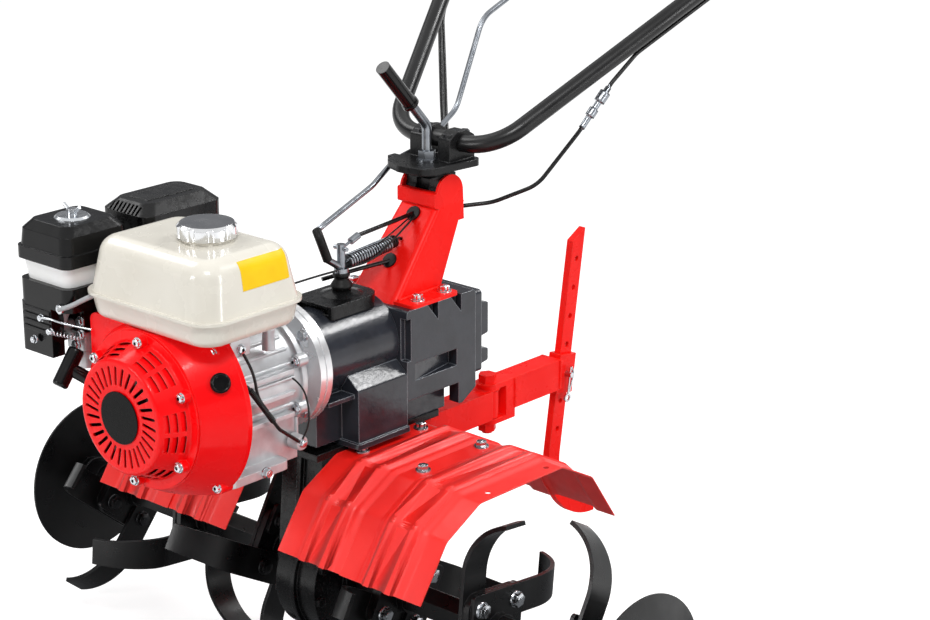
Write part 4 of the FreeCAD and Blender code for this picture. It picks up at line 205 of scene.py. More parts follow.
def hang_reflected_band():
    """A grey band round the studio that only reflections meet: a painted dark reflection, so gloss and chrome
    have something dark.
    """
    steps = 48
    low, high = [circle(REFLECTED_BAND_RADIUS, height, steps) for height in REFLECTED_BAND_HEIGHTS]
    walls = [(k, (k + 1) % steps, steps + (k + 1) % steps, steps + k) for k in range(steps)]
    only_mirrored("reflected_dark_band", low + high, walls, "grey painted reflection band", "#7C7D80")


def lay_reflected_shadow():
    """A grey card under the tiller that only reflections meet: the tiller's shadow on the floor painted into
    reflections, so undersides keep their own colour.
    """
    steps = 40
    card = circle(CARD_RADIUS, CARD_HEIGHT, steps)
    only_mirrored("reflected_shadow_card", card, [tuple(range(steps))], "grey painted shadow card", "#77787A")


def area_light(name, place, target, size, power):
    data = bpy.data.lights.new(name, "AREA")
    data.shape = "RECTANGLE"
    data.size, data.size_y = size
    data.energy = power
    light = put(name, data)
    light.location = place
    light.rotation_euler = (Vector(target) - Vector(place)).to_track_quat("-Z", "Y").to_euler()
    light.visible_camera = False


def set_lights():
    """Five softboxes: where each stands and what it points at, its size in metres and its power in watts."""
    area_light("key softbox", (1.2, -1.6, 2.6), AIM, (0.7, 0.5), 30)
    area_light("side softbox", (2.6, 0.2, 1.2), AIM, (0.4, 1.3), 19)
    area_light("front softbox", (-0.9, -2.7, 1.3), AIM, (0.8, 0.6), 19)
    area_light("back strip", (0.8, 1.6, 2.3), (0, 0, 0.4), (0.9, 0.4), 24)
    area_light("right softbox", (-1.7, -0.6, 2.3), (0, -0.1, 0.4), (0.9, 0.9), 16)


# ---------------- finishes
# Sizes are in millimetres. Peel, pebbles and grit are drawn two to five times as coarse as real ones,
# to show.
COAT_IOR = 1.5
WEAR_AND_HIGHLIGHT_PATCH = 14  # mm across the patches where a coat's edges go paler: partly the coat drawn thin, partly a painted highlight


def blank_finish(name):
    material = bpy.data.materials.new(name)
    material.use_nodes = True
    tree = material.node_tree
    return material, tree, tree.nodes["Principled BSDF"]


def speckle(tree, size, detail=3):
    """A soft noise whose blotches are about this many millimetres across."""
    place = add(tree, "ShaderNodeTexCoord").outputs["Object"]
    return add(tree, "ShaderNodeTexNoise", {"Scale": 1000 / size, "Detail": detail},
               {"Vector": place}).outputs["Fac"]


def varied(tree, size, low, high, detail=3, start=0.35, stop=0.65):
    """A number or colour that drifts from low to high in soft blotches of this many millimetres."""
    share = add(tree, "ShaderNodeMapRange", {"From Min": start, "From Max": stop},
                {"Value": speckle(tree, size, detail)})
    if isinstance(low, str):
        return add(tree, "ShaderNodeMix", {"data_type": "RGBA", 6: hexcolour(low), 7: hexcolour(high)},
                   {0: share}).outputs[2]
    return add(tree, "ShaderNodeMapRange", {"To Min": low, "To Max": high}, {"Value": share})


def rounded_edges(tree, radius):
    """Normals that round every sharp edge off, and how much of an edge each place is."""
    soft = add(tree, "ShaderNodeBevel", {"samples": 4, "Radius": mm(radius)})
    plain = add(tree, "ShaderNodeNewGeometry").outputs["Normal"]
    same = add(tree, "ShaderNodeVectorMath", {"operation": "DOT_PRODUCT"}, {0: soft, 1: plain})
    edge = add(tree, "ShaderNodeMapRange", {"From Min": 0.98, "From Max": 0.80},
               {"Value": same.outputs["Value"]})
    return soft, edge


def roughen(tree, shade, normal, layers):
    """Stacks bumps, each with the size and detail of its blotches, its strength and its depth."""
    for size, detail, strength, depth in layers:
        links = {"Height": speckle(tree, size, detail)}
        if normal:
            links["Normal"] = normal
        normal = add(tree, "ShaderNodeBump", {"Strength": strength, "Distance": mm(depth)}, links)
    link(tree, normal, shade.inputs["Normal"])


def cover(tree, shade, colour, rough, mirror, ior=COAT_IOR):
    """Gives a coat or a plastic its colour, its roughness and how much it mirrors."""
    link(tree, colour, shade.inputs["Base Color"])
    link(tree, rough, shade.inputs["Roughness"])
    shade.inputs["IOR"].default_value = ior
    shade.inputs["Specular IOR Level"].default_value = mirror


def coat(name, low, high, wear_and_highlight_edge, mirror, radius, drift, wear_and_highlight_strength, rough, layers):
    """A coat on metal: its colour drifts, its gloss varies, and along rounded edges it goes paler, partly
    where it is drawn thin and partly as a painted highlight.
    """
    material, tree, shade = blank_finish(name)
    soft, edge = rounded_edges(tree, radius)
    # edges go paler: partly worn paint, partly a painted highlight along them
    wear_and_highlight_share = add(tree, "ShaderNodeMath", {"operation": "MULTIPLY"},
               {0: edge, 1: varied(tree, WEAR_AND_HIGHLIGHT_PATCH, *wear_and_highlight_strength)})
    colour = add(tree, "ShaderNodeMix", {"data_type": "RGBA", 7: hexcolour(wear_and_highlight_edge)},
                 {0: wear_and_highlight_share, 6: varied(tree, drift, low, high)}).outputs[2]
    cover(tree, shade, colour, varied(tree, *rough), mirror)
    roughen(tree, shade, soft, layers)
    return material, shade


def gloss_enamel(name, low, high, wear_and_highlight_edge, peel, mirror):
    """Sprayed enamel under clear gloss: even colour, long orange peel, softly rounded edges painted paler as
    a highlight, with a little wear.
    """
    material, shade = coat(name, low, high, wear_and_highlight_edge, mirror, radius=1.2, drift=110, wear_and_highlight_strength=(0.25, 0.25),
                           rough=(40, 0.20, 0.32), layers=[(6, 1, 0.08, peel)])
    shade.inputs["Coat Weight"].default_value = mirror
    shade.inputs["Coat Roughness"].default_value = 0.06
    return material


def powder_coat(name, low, high, wear_and_highlight_edge, gloss, mirror, peel=0.10):
    """Baked powder: fine even pebbling, a broad soft sheen, and paler edges, partly where the coat is drawn
    thin and partly a painted highlight.
    """
    return coat(name, low, high, wear_and_highlight_edge, mirror, radius=1, drift=80, wear_and_highlight_strength=(0.05, 0.6),
                rough=(35, gloss, gloss + 0.12), layers=[(2.2, 2, 0.25, peel)])[0]


def painted_casting(name, low, high, wear_and_highlight_edge, gloss, grit, mirror):
    """Sand casting under paint: grainy skin, slow waves of the mould, heavy rounded edges painted paler,
    partly as wear and partly as a painted highlight.
    """
    return coat(name, low, high, wear_and_highlight_edge, mirror, radius=2.4, drift=45, wear_and_highlight_strength=(0.6, 0.6),
                rough=(9, gloss, gloss + 0.14), layers=[(30, 1, 0.20, 0.8), (grit, 3, 0.5, 0.30)])[0]


def bare_metal(name, low, high, gloss, spread, grain, radius, depth, stain=None, mirror=1):
    """Uncoated or plated metal: its colour lives in its reflections, broken by grain and faint stains."""
    material, tree, shade = blank_finish(name)
    soft = rounded_edges(tree, radius)[0] if radius else None
    colour = varied(tree, 22, low, high, detail=4)
    if stain:
        blot = varied(tree, 26, 0, 0.35, detail=4, start=0.50, stop=0.75)
        colour = add(tree, "ShaderNodeMix", {"data_type": "RGBA", 7: hexcolour(stain)},
                     {0: blot, 6: colour}).outputs[2]
    link(tree, colour, shade.inputs["Base Color"])
    shade.inputs["Metallic"].default_value = mirror
    link(tree, varied(tree, 24, gloss, gloss + spread), shade.inputs["Roughness"])
    roughen(tree, shade, soft, [(grain, 3, 0.35, depth)])
    return material


def moulded(name, low, high, gloss, grain, ior=COAT_IOR, radius=1, depth=0.06, mirror=0.18):
    """Moulded plastic or rubber: one colour through, with the fine spark-eroded skin of its tool."""
    material, tree, shade = blank_finish(name)
    soft = rounded_edges(tree, radius)[0]
    cover(tree, shade, varied(tree, 28, low, high), varied(tree, 12, gloss, gloss + 0.13), mirror, ior)
    roughen(tree, shade, soft, [(grain, 2, 0.4, depth)])
    return material


FINISHES = {
    # the engine's cowl: wet-looking red, deepest of the reds; its pink edge colour is mostly a painted
    # highlight along edges and slot rims, with a little wear
    "engine enamel": gloss_enamel("red engine enamel", "#FB070D", "#FF0E14", "#FF8078",
                                  peel=0.10, mirror=0.12),
    # tank: warm white whose tone drifts a little in broad blotches; its paler edges are partly a painted
    # highlight
    "tank enamel": gloss_enamel("warm white tank enamel", "#DAD5C9", "#E1DDD2", "#F0EDE4",
                                peel=0.08, mirror=0.4),
    # column, bracket and drawbar: flatter, more orange than the cowl; its pale pink edges are partly worn
    # paint, partly a painted highlight
    "red powder": powder_coat("red powder coat", "#F9140E", "#FF1C16", "#FF8A74", gloss=0.24, mirror=0.14),
    # guards over the tines: the same coat on pressed sheet, with a paler sheen; its pale pink edges are
    # partly a painted highlight
    "red sheet": powder_coat("red powder coated sheet", "#F4160E", "#FF2017", "#FF8A74",
                             gloss=0.36, mirror=0.62),
    # tines, discs, shaft and tubes: near black, with steel showing through at cutting edges
    "black powder": powder_coat("black powder coat", "#0D0D0E", "#141415", "#5E5E62",
                                gloss=0.26, mirror=0.36, peel=0.025),
    # clutch and gearbox housings: blue-black paint that shines over slow waves of the sand mould; the pale
    # grey edges are mostly a painted highlight, with some wear
    "graphite casting": painted_casting("graphite painted casting", "#25272D", "#2D3037", "#A3A8B0",
                                        gloss=0.12, grit=4.6, mirror=0.45),
    # lower gear case and shift tower: the darkest paint, with a finer skin; its greyer edges are partly a
    # painted highlight
    "black casting": painted_casting("black painted casting", "#0B0B0C", "#111112", "#3C3C3E",
                                     gloss=0.18, grit=2.2, mirror=0.25),
    # head and clamp: dull grey-black iron, coarse sand skin; its greyer edges are partly a painted highlight
    "black iron": painted_casting("black painted cast iron", "#101011", "#171718", "#4A4A4C",
                                  gloss=0.24, grit=3, mirror=0.25),
    # pressure die casting: bright silver under an oxide skin that scatters, with dull flow marks
    "die cast": bare_metal("die cast aluminium", "#BFC1C4", "#CED0D2", gloss=0.30, spread=0.08, grain=1.6,
                           radius=1.6, depth=0.04, stain="#A2A3A7", mirror=0.42),
    # fuel cap: a clear mirror that shows the studio
    "chrome": bare_metal("chromium plate", "#D9DADC", "#E6E7E8", gloss=0.07, spread=0.08, grain=4,
                         radius=1, depth=0.02),
    # screws, nuts and pins: blue-white and bright
    "zinc": bare_metal("bright zinc plate", "#C4C7CB", "#D2D5D9", gloss=0.20, spread=0.06, grain=4,
                       radius=0.4, depth=0.005),
    # plated rods: the same zinc, drawn smooth, without edges to round
    "zinc rod": bare_metal("bright zinc plated rod", "#7E8288", "#94989D", gloss=0.27, spread=0.05, grain=8,
                           radius=0, depth=0.002),
    # dark screws: a thin oxide that still glints; the spring's core takes it too, as painted shade between
    # the coil's turns
    "dark steel and coil shade": bare_metal("blackened steel and coil shade", "#3A3A3B", "#4C4C4E", gloss=0.34, spread=0.16, grain=1,
                             radius=0.5, depth=0.04),
    # adapter ring: paler than the casting, with the soft shine of a fine cut
    "machined ring": bare_metal("turned aluminium", "#E6E7E9", "#F2F3F4", gloss=0.22, spread=0.06, grain=3,
                                radius=1.2, depth=0.01, mirror=0.7),
    # the carburettor's drain plug: warm yellow metal
    "brass": bare_metal("turned brass", "#B08D4A", "#C7A45E", gloss=0.24, spread=0.14, grain=1,
                        radius=0.5, depth=0.03),
    # air cleaner, knobs and starter grip: deep black with broad highlights
    "black plastic": moulded("black moulded nylon", "#09090A", "#0F0F10", gloss=0.10, grain=3,
                             radius=1.2, depth=0.04, mirror=0.25),
    # a bare black disc in the middle of the starter cover
    "badge plastic": moulded("black gloss disc", "#050505", "#080808", gloss=0.22, grain=6,
                             radius=0.6, depth=0.02, mirror=0.08),
    # choke and throttle levers: light grey with a dry look
    "grey plastic": moulded("grey moulded nylon", "#A6A8AA", "#B4B6B8", gloss=0.30, grain=2),
    # the air cleaner's band: clean white that scatters light
    "white plastic": moulded("white moulded polypropylene", "#FAFAF8", "#FFFFFF", gloss=0.38, grain=2,
                             depth=0.04, mirror=0.4),
    # heat-proof coat on the muffler and its guard: black with a dusty grain
    "stove black": moulded("stove black", "#0A0A0B", "#111112", gloss=0.20, grain=1.6,
                           radius=1.4, depth=0.10, mirror=0.3),
    # hand grips and boots: soft black without a highlight
    "rubber": moulded("black nitrile rubber", "#0C0C0C", "#131313", gloss=0.40, grain=1.4,
                      radius=1.2, depth=0.10, mirror=0.2),
    # cables and leads: smooth black with a thin line of light
    "cable sheath": moulded("black polyvinyl sheath", "#09090A", "#0F0F10", gloss=0.24, grain=3, ior=1.52,
                            radius=0.5, depth=0.03, mirror=0.3),
    # a plain film with nothing printed on it
    "yellow film": moulded("plain yellow film", "#F2C400", "#F7CC08", gloss=0.34, grain=8, ior=1.49,
                           radius=0.2, depth=0.01, mirror=0.3),
}


def both_sides(*names):
    return [f"{name}_{side}" for name in names for side in ("left", "right")]


NODE_FINISHES = {
    "engine enamel": ["fan_shroud", "recoil_cover"],
    "tank enamel": ["fuel_tank"],
    "red powder": ["column", "hitch_bracket", "drawbar", "depth_bar"],
    "red sheet": both_sides("fender_inner", "fender_outer"),
    "black powder": ["rotor_shaft", "handlebar_tube", "hand_levers"]
                    + both_sides("disc", "fender_stay", "tines_inner", "tines_middle", "tines_outer"),
    "graphite casting": ["clutch_housing", "gearbox_housing"],
    "black casting": ["gear_case", "shift_tower"],
    "black iron": ["column_head", "handlebar_head"],
    "die cast": ["crankcase", "cylinder_block", "carburettor"],
    "machined ring": ["adapter_ring"],
    "chrome": ["fuel_cap"],
    "zinc": ["air_cleaner_nut", "hitch_pin"],
    "zinc rod": ["clamp_lever", "shift_lever", "shift_rod_lower", "shift_rod_middle", "shift_rod_upper"],
    # the spring's solid, inside the wire coil, is coloured dark as painted shade between the turns
    "dark steel and coil shade": ["return_spring"],
    "badge plastic": ["recoil_badge"],
    "black plastic": ["starter_grip", "air_cleaner_base", "air_cleaner_cover", "stop_switch",
                      "clamp_grip", "shift_knob"],
    "grey plastic": ["choke_levers"],
    "white plastic": ["air_cleaner_band"],
    "stove black": ["muffler", "muffler_guard"],
    "rubber": ["shift_boots"] + both_sides("grip"),
    "cable sheath": ["chassis_cables", "clutch_cable", "control_cables"],
}


def finish_nodes():
    """Every solid of the frame takes the finish that its real part has."""
    for finish, names in NODE_FINISHES.items():
        for name in names:
            slots = NODES[name].data.materials
            slots.clear()
            slots.append(FINISHES[finish])


# ---------------- how pieces are made
SHARP = 38  # degrees, an edge that stays sharp between smooth faces
TOUCH = 1e-6  # m, points this near to each other are one, and this near to a cut they lie on it


def lay_out(name, mesh, finish, sharp=SHARP):
    """Puts a finished mesh in the scene with its finish and its smooth flanks."""
    mesh.name = name
    piece = put(name, mesh)
    mesh.materials.clear()
    mesh.materials.append(FINISHES[finish])
    mesh.polygons.foreach_set("use_smooth", [True] * len(mesh.polygons))
    mesh.set_sharp_from_angle(angle=math.radians(sharp))
    return piece


def settle(name, mesh, finish, body="chassis", sharp=SHARP):
    """Lays a mesh out on the body that it rides on; its place is already in its points."""
    piece = lay_out(name, mesh, finish, sharp)
    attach(piece, body)
    return piece


def plain_mesh(name, data, tree=None, values=None):
    """The plain mesh that a curve makes, or that a node tree makes from a mesh."""
    scratch = put(name + "_source", data)
    if tree:
        modifier = scratch.modifiers.new("make", "NODES")
        modifier.node_group = tree
        for item in tree.interface.items_tree:
            if item.in_out == "INPUT" and item.name in values:
                modifier[item.identifier] = values[item.name]
    mesh = bpy.data.meshes.new_from_object(scratch.evaluated_get(bpy.context.evaluated_depsgraph_get()))
    scratch.modifiers.clear()
    bpy.data.objects.remove(scratch)
    return mesh


def from_nodes(name, source, tree, sizes, finish, body="chassis"):
    """A piece that a node tree makes from a source mesh; sizes are in metres."""
    values = {**sizes, "Finish": FINISHES[finish]}
    return settle(name, plain_mesh(name, source, tree, values), finish, body)


def new_tree(name, inputs):
    """An empty geometry tree with named number inputs and one material."""
    tree = bpy.data.node_groups.new(name, "GeometryNodeTree")
    sockets = [("Geometry", "INPUT", "Geometry"), *[(label, "INPUT", "Float") for label in inputs],
               ("Finish", "INPUT", "Material"), ("Geometry", "OUTPUT", "Geometry")]
    for label, way, kind in sockets:
        tree.interface.new_socket(label, in_out=way, socket_type="NodeSocket" + kind)
    return tree, add(tree, "NodeGroupInput").outputs


def close_tree(tree, shape, given):
    real = add(tree, "GeometryNodeRealizeInstances", {}, {0: shape})
    dressed = add(tree, "GeometryNodeSetMaterial", {},
                  {"Geometry": real, "Material": given["Finish"]})
    add(tree, "NodeGroupOutput", {}, {0: dressed})
    return tree


SCREW_SIZES = ("Across flats", "Head height", "Flange radius", "Flange height", "Stud radius", "Stud height")
HEAD_CHAMFER = 0.16  # share of a head's height that its chamfer takes


def make_screw_tree():
    """A hexagon head with a chamfered top on a round flange, and the stud's end above it."""
    tree, given = new_tree("screw heads", SCREW_SIZES)
    part = add(tree, "GeometryNodeJoinGeometry")
    corner = add(tree, "ShaderNodeMath", {"operation": "MULTIPLY", 1: 1 / math.sqrt(3)},
                 {0: given["Across flats"]})
    side = add(tree, "ShaderNodeMath", {"operation": "MULTIPLY", 1: 1 - HEAD_CHAMFER},
               {0: given["Head height"]})
    tilt = add(tree, "ShaderNodeMath", {"operation": "MULTIPLY", 1: HEAD_CHAMFER},
               {0: given["Head height"]})
    shoulder = add(tree, "ShaderNodeMath", {"operation": "ADD"},
                   {0: given["Flange height"], 1: side})
    steps = (  # sides, radius at the foot, share of it at the top, height, how far up it stands
        (28, given["Flange radius"], 0.93, given["Flange height"], None),
        (6, corner, 1, side, given["Flange height"]),
        (6, corner, 0.84, tilt, shoulder),
        (20, given["Stud radius"], 0.9, given["Stud height"], None))
    for sides, radius, taper, height, lift in steps:
        top = add(tree, "ShaderNodeMath", {"operation": "MULTIPLY", 1: taper}, {0: radius})
        shape = add(tree, "GeometryNodeMeshCone", {"Vertices": sides},
                    {"Radius Top": top, "Radius Bottom": radius, "Depth": height})
        if lift is not None:
            up = add(tree, "ShaderNodeCombineXYZ", {}, {"Z": lift})
            shape = add(tree, "GeometryNodeTransform", {}, {"Geometry": shape, "Translation": up})
        link(tree, shape, part.inputs[0])
    axis = add(tree, "GeometryNodeInputNamedAttribute",
               {"data_type": "FLOAT_VECTOR", "Name": "axis"})
    aim = add(tree, "FunctionNodeAlignRotationToVector", {"axis": "Z"}, {"Vector": axis})
    spin = add(tree, "FunctionNodeRandomValue",
               {"data_type": "FLOAT", 2: 0, 3: math.pi / 3, 8: 7}).outputs[1]
    about = add(tree, "FunctionNodeAxisAngleToRotation", {"Axis": (0, 0, 1)}, {"Angle": spin})
    both = add(tree, "FunctionNodeRotateRotation", {"rotation_space": "LOCAL"}, {0: aim, 1: about})
    heads = add(tree, "GeometryNodeInstanceOnPoints", {},
                {"Points": given["Geometry"], "Instance": part, "Rotation": both})
    return close_tree(tree, heads, given)


def make_bead_tree():
    """A round bead along a path whose width swells at every ripple, as a weld's or a ribbed sleeve's does."""
    tree, given = new_tree("rippled beads", ["Bead radius", "Ripple spacing", "Ripple depth"])
    path = add(tree, "GeometryNodeMeshToCurve", {}, {0: given["Geometry"]})
    step = add(tree, "ShaderNodeMath", {"operation": "MULTIPLY", 1: 0.25},
               {0: given["Ripple spacing"]})
    fine = add(tree, "GeometryNodeResampleCurve", {"mode": "LENGTH"}, {"Curve": path, "Length": step})
    along = add(tree, "GeometryNodeSplineParameter").outputs["Length"]
    ripple = add(tree, "ShaderNodeMath", {"operation": "DIVIDE"},
                 {0: along, 1: given["Ripple spacing"]})
    phase = add(tree, "ShaderNodeMath", {"operation": "MULTIPLY", 1: math.tau}, {0: ripple})
    wave = add(tree, "ShaderNodeMath", {"operation": "SINE"}, {0: phase})
    swell = add(tree, "ShaderNodeMath", {"operation": "MULTIPLY_ADD", 2: 1},
                {0: wave, 1: given["Ripple depth"]})
    width = add(tree, "ShaderNodeMath", {"operation": "MULTIPLY"},
                {0: swell, 1: given["Bead radius"]})
    section = add(tree, "GeometryNodeCurvePrimitiveCircle", {"Resolution": 12, "Radius": 1})
    bead = add(tree, "GeometryNodeCurveToMesh", {"Fill Caps": True}, {0: fine, 1: section, "Scale": width})
    return close_tree(tree, bead, given)


def make_fan_tree():
    """Straight vanes that stand in a ring on the fan's disc."""
    tree, given = new_tree("fan vanes", ["Ring radius", "Vane length", "Vane depth", "Vane thickness"])
    size = add(tree, "ShaderNodeCombineXYZ", {},
               {"X": given["Vane length"], "Y": given["Vane thickness"], "Z": given["Vane depth"]})
    vane = add(tree, "GeometryNodeMeshCube", {}, {"Size": size})
    ring = add(tree, "GeometryNodeMeshCircle", {"Vertices": 18}, {"Radius": given["Ring radius"]})
    outwards = add(tree, "FunctionNodeAlignRotationToVector", {"axis": "X", "pivot_axis": "Z"},
                   {"Vector": add(tree, "GeometryNodeInputPosition")})
    slant = add(tree, "FunctionNodeAxisAngleToRotation", {"Axis": (0, 0, 1), "Angle": 0.5})
    aim = add(tree, "FunctionNodeRotateRotation", {"rotation_space": "LOCAL"},
              {0: outwards, 1: slant})
    vanes = add(tree, "GeometryNodeInstanceOnPoints", {},
                {"Points": ring, "Instance": vane, "Rotation": aim})
    both = add(tree, "GeometryNodeJoinGeometry")
    for shape in (vanes, given["Geometry"]):
        link(tree, shape, both.inputs[0])
    return close_tree(tree, both, given)


SCREW_TREE = make_screw_tree()
BEAD_TREE = make_bead_tree()
FAN_TREE = make_fan_tree()


def screws(name, places, facing, size, finish, body="chassis"):
    """Screw heads that all face one way; their size is in the order of SCREW_SIZES, in millimetres."""
    mesh = bpy.data.meshes.new(name)
    mesh.from_pydata([at(*place) for place in places], [], [])
    axes = mesh.attributes.new("axis", "FLOAT_VECTOR", "POINT")
    axes.data.foreach_set("vector", facing * len(places))
    sizes = {label: mm(number) for label, number in zip(SCREW_SIZES, size)}
    return from_nodes(name, mesh, SCREW_TREE, sizes, finish, body)


def beads(name, paths, radius, spacing, depth, finish, body="chassis"):
    """Weld beads or ribbed sleeves along paths of places in millimetres."""
    mesh = bpy.data.meshes.new(name)
    corners = []
    edges = []
    for path in paths:
        first = len(corners)
        corners += [at(*place) for place in path]
        edges += [(first + k, first + k + 1) for k in range(len(path) - 1)]
    mesh.from_pydata(corners, edges, [])
    sizes = {"Bead radius": mm(radius), "Ripple spacing": mm(spacing), "Ripple depth": depth}
    return from_nodes(name, mesh, BEAD_TREE, sizes, finish, body)


def ring_path(centre, radius, axis, count=48):
    """A closed ring of places in millimetres about an X, Y or Z axis."""
    ring = []
    for across, up, _ in circle(radius, 0, count):
        offset = [across, up]
        offset.insert("xyz".index(axis), 0)
        ring.append(tuple(c + o for c, o in zip(centre, offset)))
    return ring + ring[:1]


def wire(name, route, radius, finish, sides=10):
    """A smooth round wire or hose through a route of places in millimetres."""
    curve = bpy.data.curves.new(name, "CURVE")
    curve.dimensions = "3D"
    spline = curve.splines.new("NURBS")
    spline.points.add(len(route) - 1)
    for point, place in zip(spline.points, route):
        point.co = (*at(*place), 1)
    spline.order_u = 3
    spline.use_endpoint_u = True
    spline.resolution_u = 12
    curve.bevel_depth = mm(radius)
    curve.bevel_resolution = sides // 2
    curve.use_fill_caps = True
    return settle(name, plain_mesh(name, curve), finish)


COIL_POINTS = 12  # places on each turn
COIL_START = 0.04  # share of the spring's length before its first turn
COIL_SHARE = 0.90  # share of it that the turns take


def coil(start, end, radius, turns):
    """Places of a close coil between two places in millimetres."""
    run = Vector(end) - Vector(start)
    side = run.orthogonal().normalized()
    other = run.normalized().cross(side)
    steps = turns * COIL_POINTS
    route = [start]
    for k in range(steps + 1):
        turn = math.tau * k / COIL_POINTS
        middle = Vector(start) + run * (COIL_START + COIL_SHARE * k / steps)
        route.append(middle + side * radius * math.cos(turn) + other * radius * math.sin(turn))
    return route + [end]


def written(name, work):
    mesh = bpy.data.meshes.new(name)
    work.to_mesh(mesh)
    work.free()
    return mesh


def closed_skin(name, work):
    """Turns a closed shell's faces outwards and writes it out as a mesh."""
    bmesh.ops.recalc_face_normals(work, faces=work.faces)
    return written(name, work)


def lathe(profile, steps):
    """A closed turned skin: (radius, height) pairs in millimetres up the Z axis."""
    work = bmesh.new()
    rings = [[work.verts.new(Vector(place) / 1000) for place in circle(radius, height, steps)]
             for radius, height in profile]
    for low, high in zip(rings, rings[1:]):
        for k in range(steps):
            work.faces.new((low[k], low[(k + 1) % steps], high[(k + 1) % steps], high[k]))
    work.faces.new(list(reversed(rings[0])))
    work.faces.new(rings[-1])
    return work


def turned(name, profile, foot, axis, finish, steps=40):
    """A turned piece whose profile goes up an axis from its foot."""
    work = lathe(profile, steps)
    aim = Vector(axis).to_track_quat("Z", "Y").to_matrix().to_4x4()
    bmesh.ops.transform(work, matrix=Matrix.Translation(at(*foot)) @ aim, verts=work.verts)
    return settle(name, closed_skin(name, work), finish)


def plate(name, outline, holes, thick, origin, across, up, finish, edge):
    """A flat plate cut to an outline of (across, up) places in millimetres, with its rim broken."""
    curve = bpy.data.curves.new(name, "CURVE")
    curve.dimensions = "2D"
    curve.fill_mode = "BOTH"
    rims = [[(x + dx, y + dy) for dx, dy, _ in circle(r, 0, 16)] for x, y, r in holes]
    for loop in [outline] + rims:
        spline = curve.splines.new("POLY")
        spline.points.add(len(loop) - 1)
        for point, (x, y) in zip(spline.points, loop):
            point.co = (mm(x), mm(y), 0, 1)
        spline.use_cyclic_u = True
    curve.extrude = mm((thick - edge) / 2)
    curve.bevel_depth = mm(edge / 2)
    curve.bevel_resolution = 1
    mesh = plain_mesh(name, curve)
    x_axis, y_axis = Vector(across), Vector(up)
    lean = Matrix((x_axis, y_axis, x_axis.cross(y_axis))).transposed().to_4x4()
    mesh.transform(Matrix.Translation(at(*origin)) @ lean)
    work = bmesh.new()
    work.from_mesh(mesh)
    bmesh.ops.remove_doubles(work, verts=work.verts, dist=TOUCH)
    return settle(name, closed_skin(name, work), finish)


FILM_LIFT = 0.45  # mm that a film stands off the skin
FILM_GRID = (14, 8)  # faces along and up a film
OUTSIDE = 400  # mm, further left than the engine reaches


def film(name, node, low, high, sink, finish):
    """A thin film pressed on the left flank of a node, between two (y, z) places in millimetres."""
    source = NODES[node].data
    skin = BVHTree.FromPolygons([vertex.co for vertex in source.vertices],
                                [tuple(face.vertices) for face in source.polygons])
    long, row = FILM_GRID[0], FILM_GRID[1] + 1
    work = bmesh.new()
    sheets = []
    for lift in (FILM_LIFT, -sink):
        sheet = []
        for i in range(long + 1):
            for k in range(row):
                y = low[0] + (high[0] - low[0]) * i / long
                z = low[1] + (high[1] - low[1]) * k / (row - 1)
                spot, normal, _, _ = skin.ray_cast(at(OUTSIDE, y, z), Vector(RIGHTWARD))
                sheet.append(work.verts.new(spot + normal * mm(lift)))
        for a in [i * row + k for i in range(long) for k in range(row - 1)]:
            work.faces.new((sheet[a], sheet[a + row], sheet[a + row + 1], sheet[a + 1]))
        sheets.append(sheet)
    top, bottom = sheets
    rim = list(range(0, long * row, row)) + list(range(long * row, long * row + row - 1))
    rim += list(range(long * row + row - 1, row - 1, -row)) + list(range(row - 1, 0, -1))
    for a, b in zip(rim, rim[1:] + rim[:1]):
        work.faces.new((top[a], top[b], bottom[b], bottom[a]))
    return settle(name, closed_skin(name, work), finish)


# ---------------- copies that stand for a solid
LONG_EDGE = 12  # mm, longer edges of a rod or cable are divided so that it can bend
LONG_EDGE_CUTS = 5
SWAGE_FROM = 70  # mm from the mirror plane to the middle of the first low band
SWAGE_PITCH = 115  # mm from one low band to the next
SWAGE_LOW = 14  # mm, half of a low band
SWAGE_HIGH = 27  # mm from the middle of a low band to the start of the raised one
SWAGE_RISE = 4.2  # mm
SWAGE_CUT = 2.25  # mm between the cuts that shape a slope
SWAGE_MARGIN = 2.3  # mm past a slope's ends that are cut too
FOLD_WIDTH = 10  # mm of a guard's flat over which its fold turns
PRESSED_SHARP = 30  # degrees


def copied(node):
    """A copy of a node's solid with its loose triangles joined."""
    work = bmesh.new()
    work.from_mesh(NODES[node].data)
    bmesh.ops.remove_doubles(work, verts=work.verts, dist=TOUCH)
    return work


def sliced(work, place, facing, clear=False):
    """Cuts the work square at a place in metres, and clears what lies past it where that is asked."""
    everything = list(work.verts) + list(work.edges) + list(work.faces)
    bmesh.ops.bisect_plane(work, geom=everything, dist=TOUCH, plane_co=place, plane_no=facing,
                           clear_outer=clear)


def triangles(name, work):
    """Writes the work out as a mesh of triangles."""
    bmesh.ops.triangulate(work, faces=work.faces)
    return written(name, work)


def bending(name, node, finish, ahead=None, behind=None):
    """A copy of a rod or cable, with its long edges divided, in place of its stiff solid.

    It is cut off square at the y places ahead and behind, in millimetres, where the next length goes on.
    """
    work = copied(node)
    long_edges = [edge for edge in work.edges if edge.calc_length() > mm(LONG_EDGE)]
    bmesh.ops.subdivide_edges(work, edges=long_edges, cuts=LONG_EDGE_CUTS, use_grid_fill=False)
    for cut, facing in ((ahead, REARWARD), (behind, FORWARD)):
        if cut is not None:
            sliced(work, at(0, cut, 0), facing, clear=True)
            bmesh.ops.holes_fill(work, edges=[edge for edge in work.edges if edge.is_boundary])
    piece = lay_out(name, triangles(name, work), finish)
    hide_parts(node)
    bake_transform(piece)
    return piece


def from_low_band(x):
    """How far a place lies from the middle of the nearest low band, in millimetres."""
    offset = (abs(x) - SWAGE_FROM) % SWAGE_PITCH
    return min(offset, SWAGE_PITCH - offset)


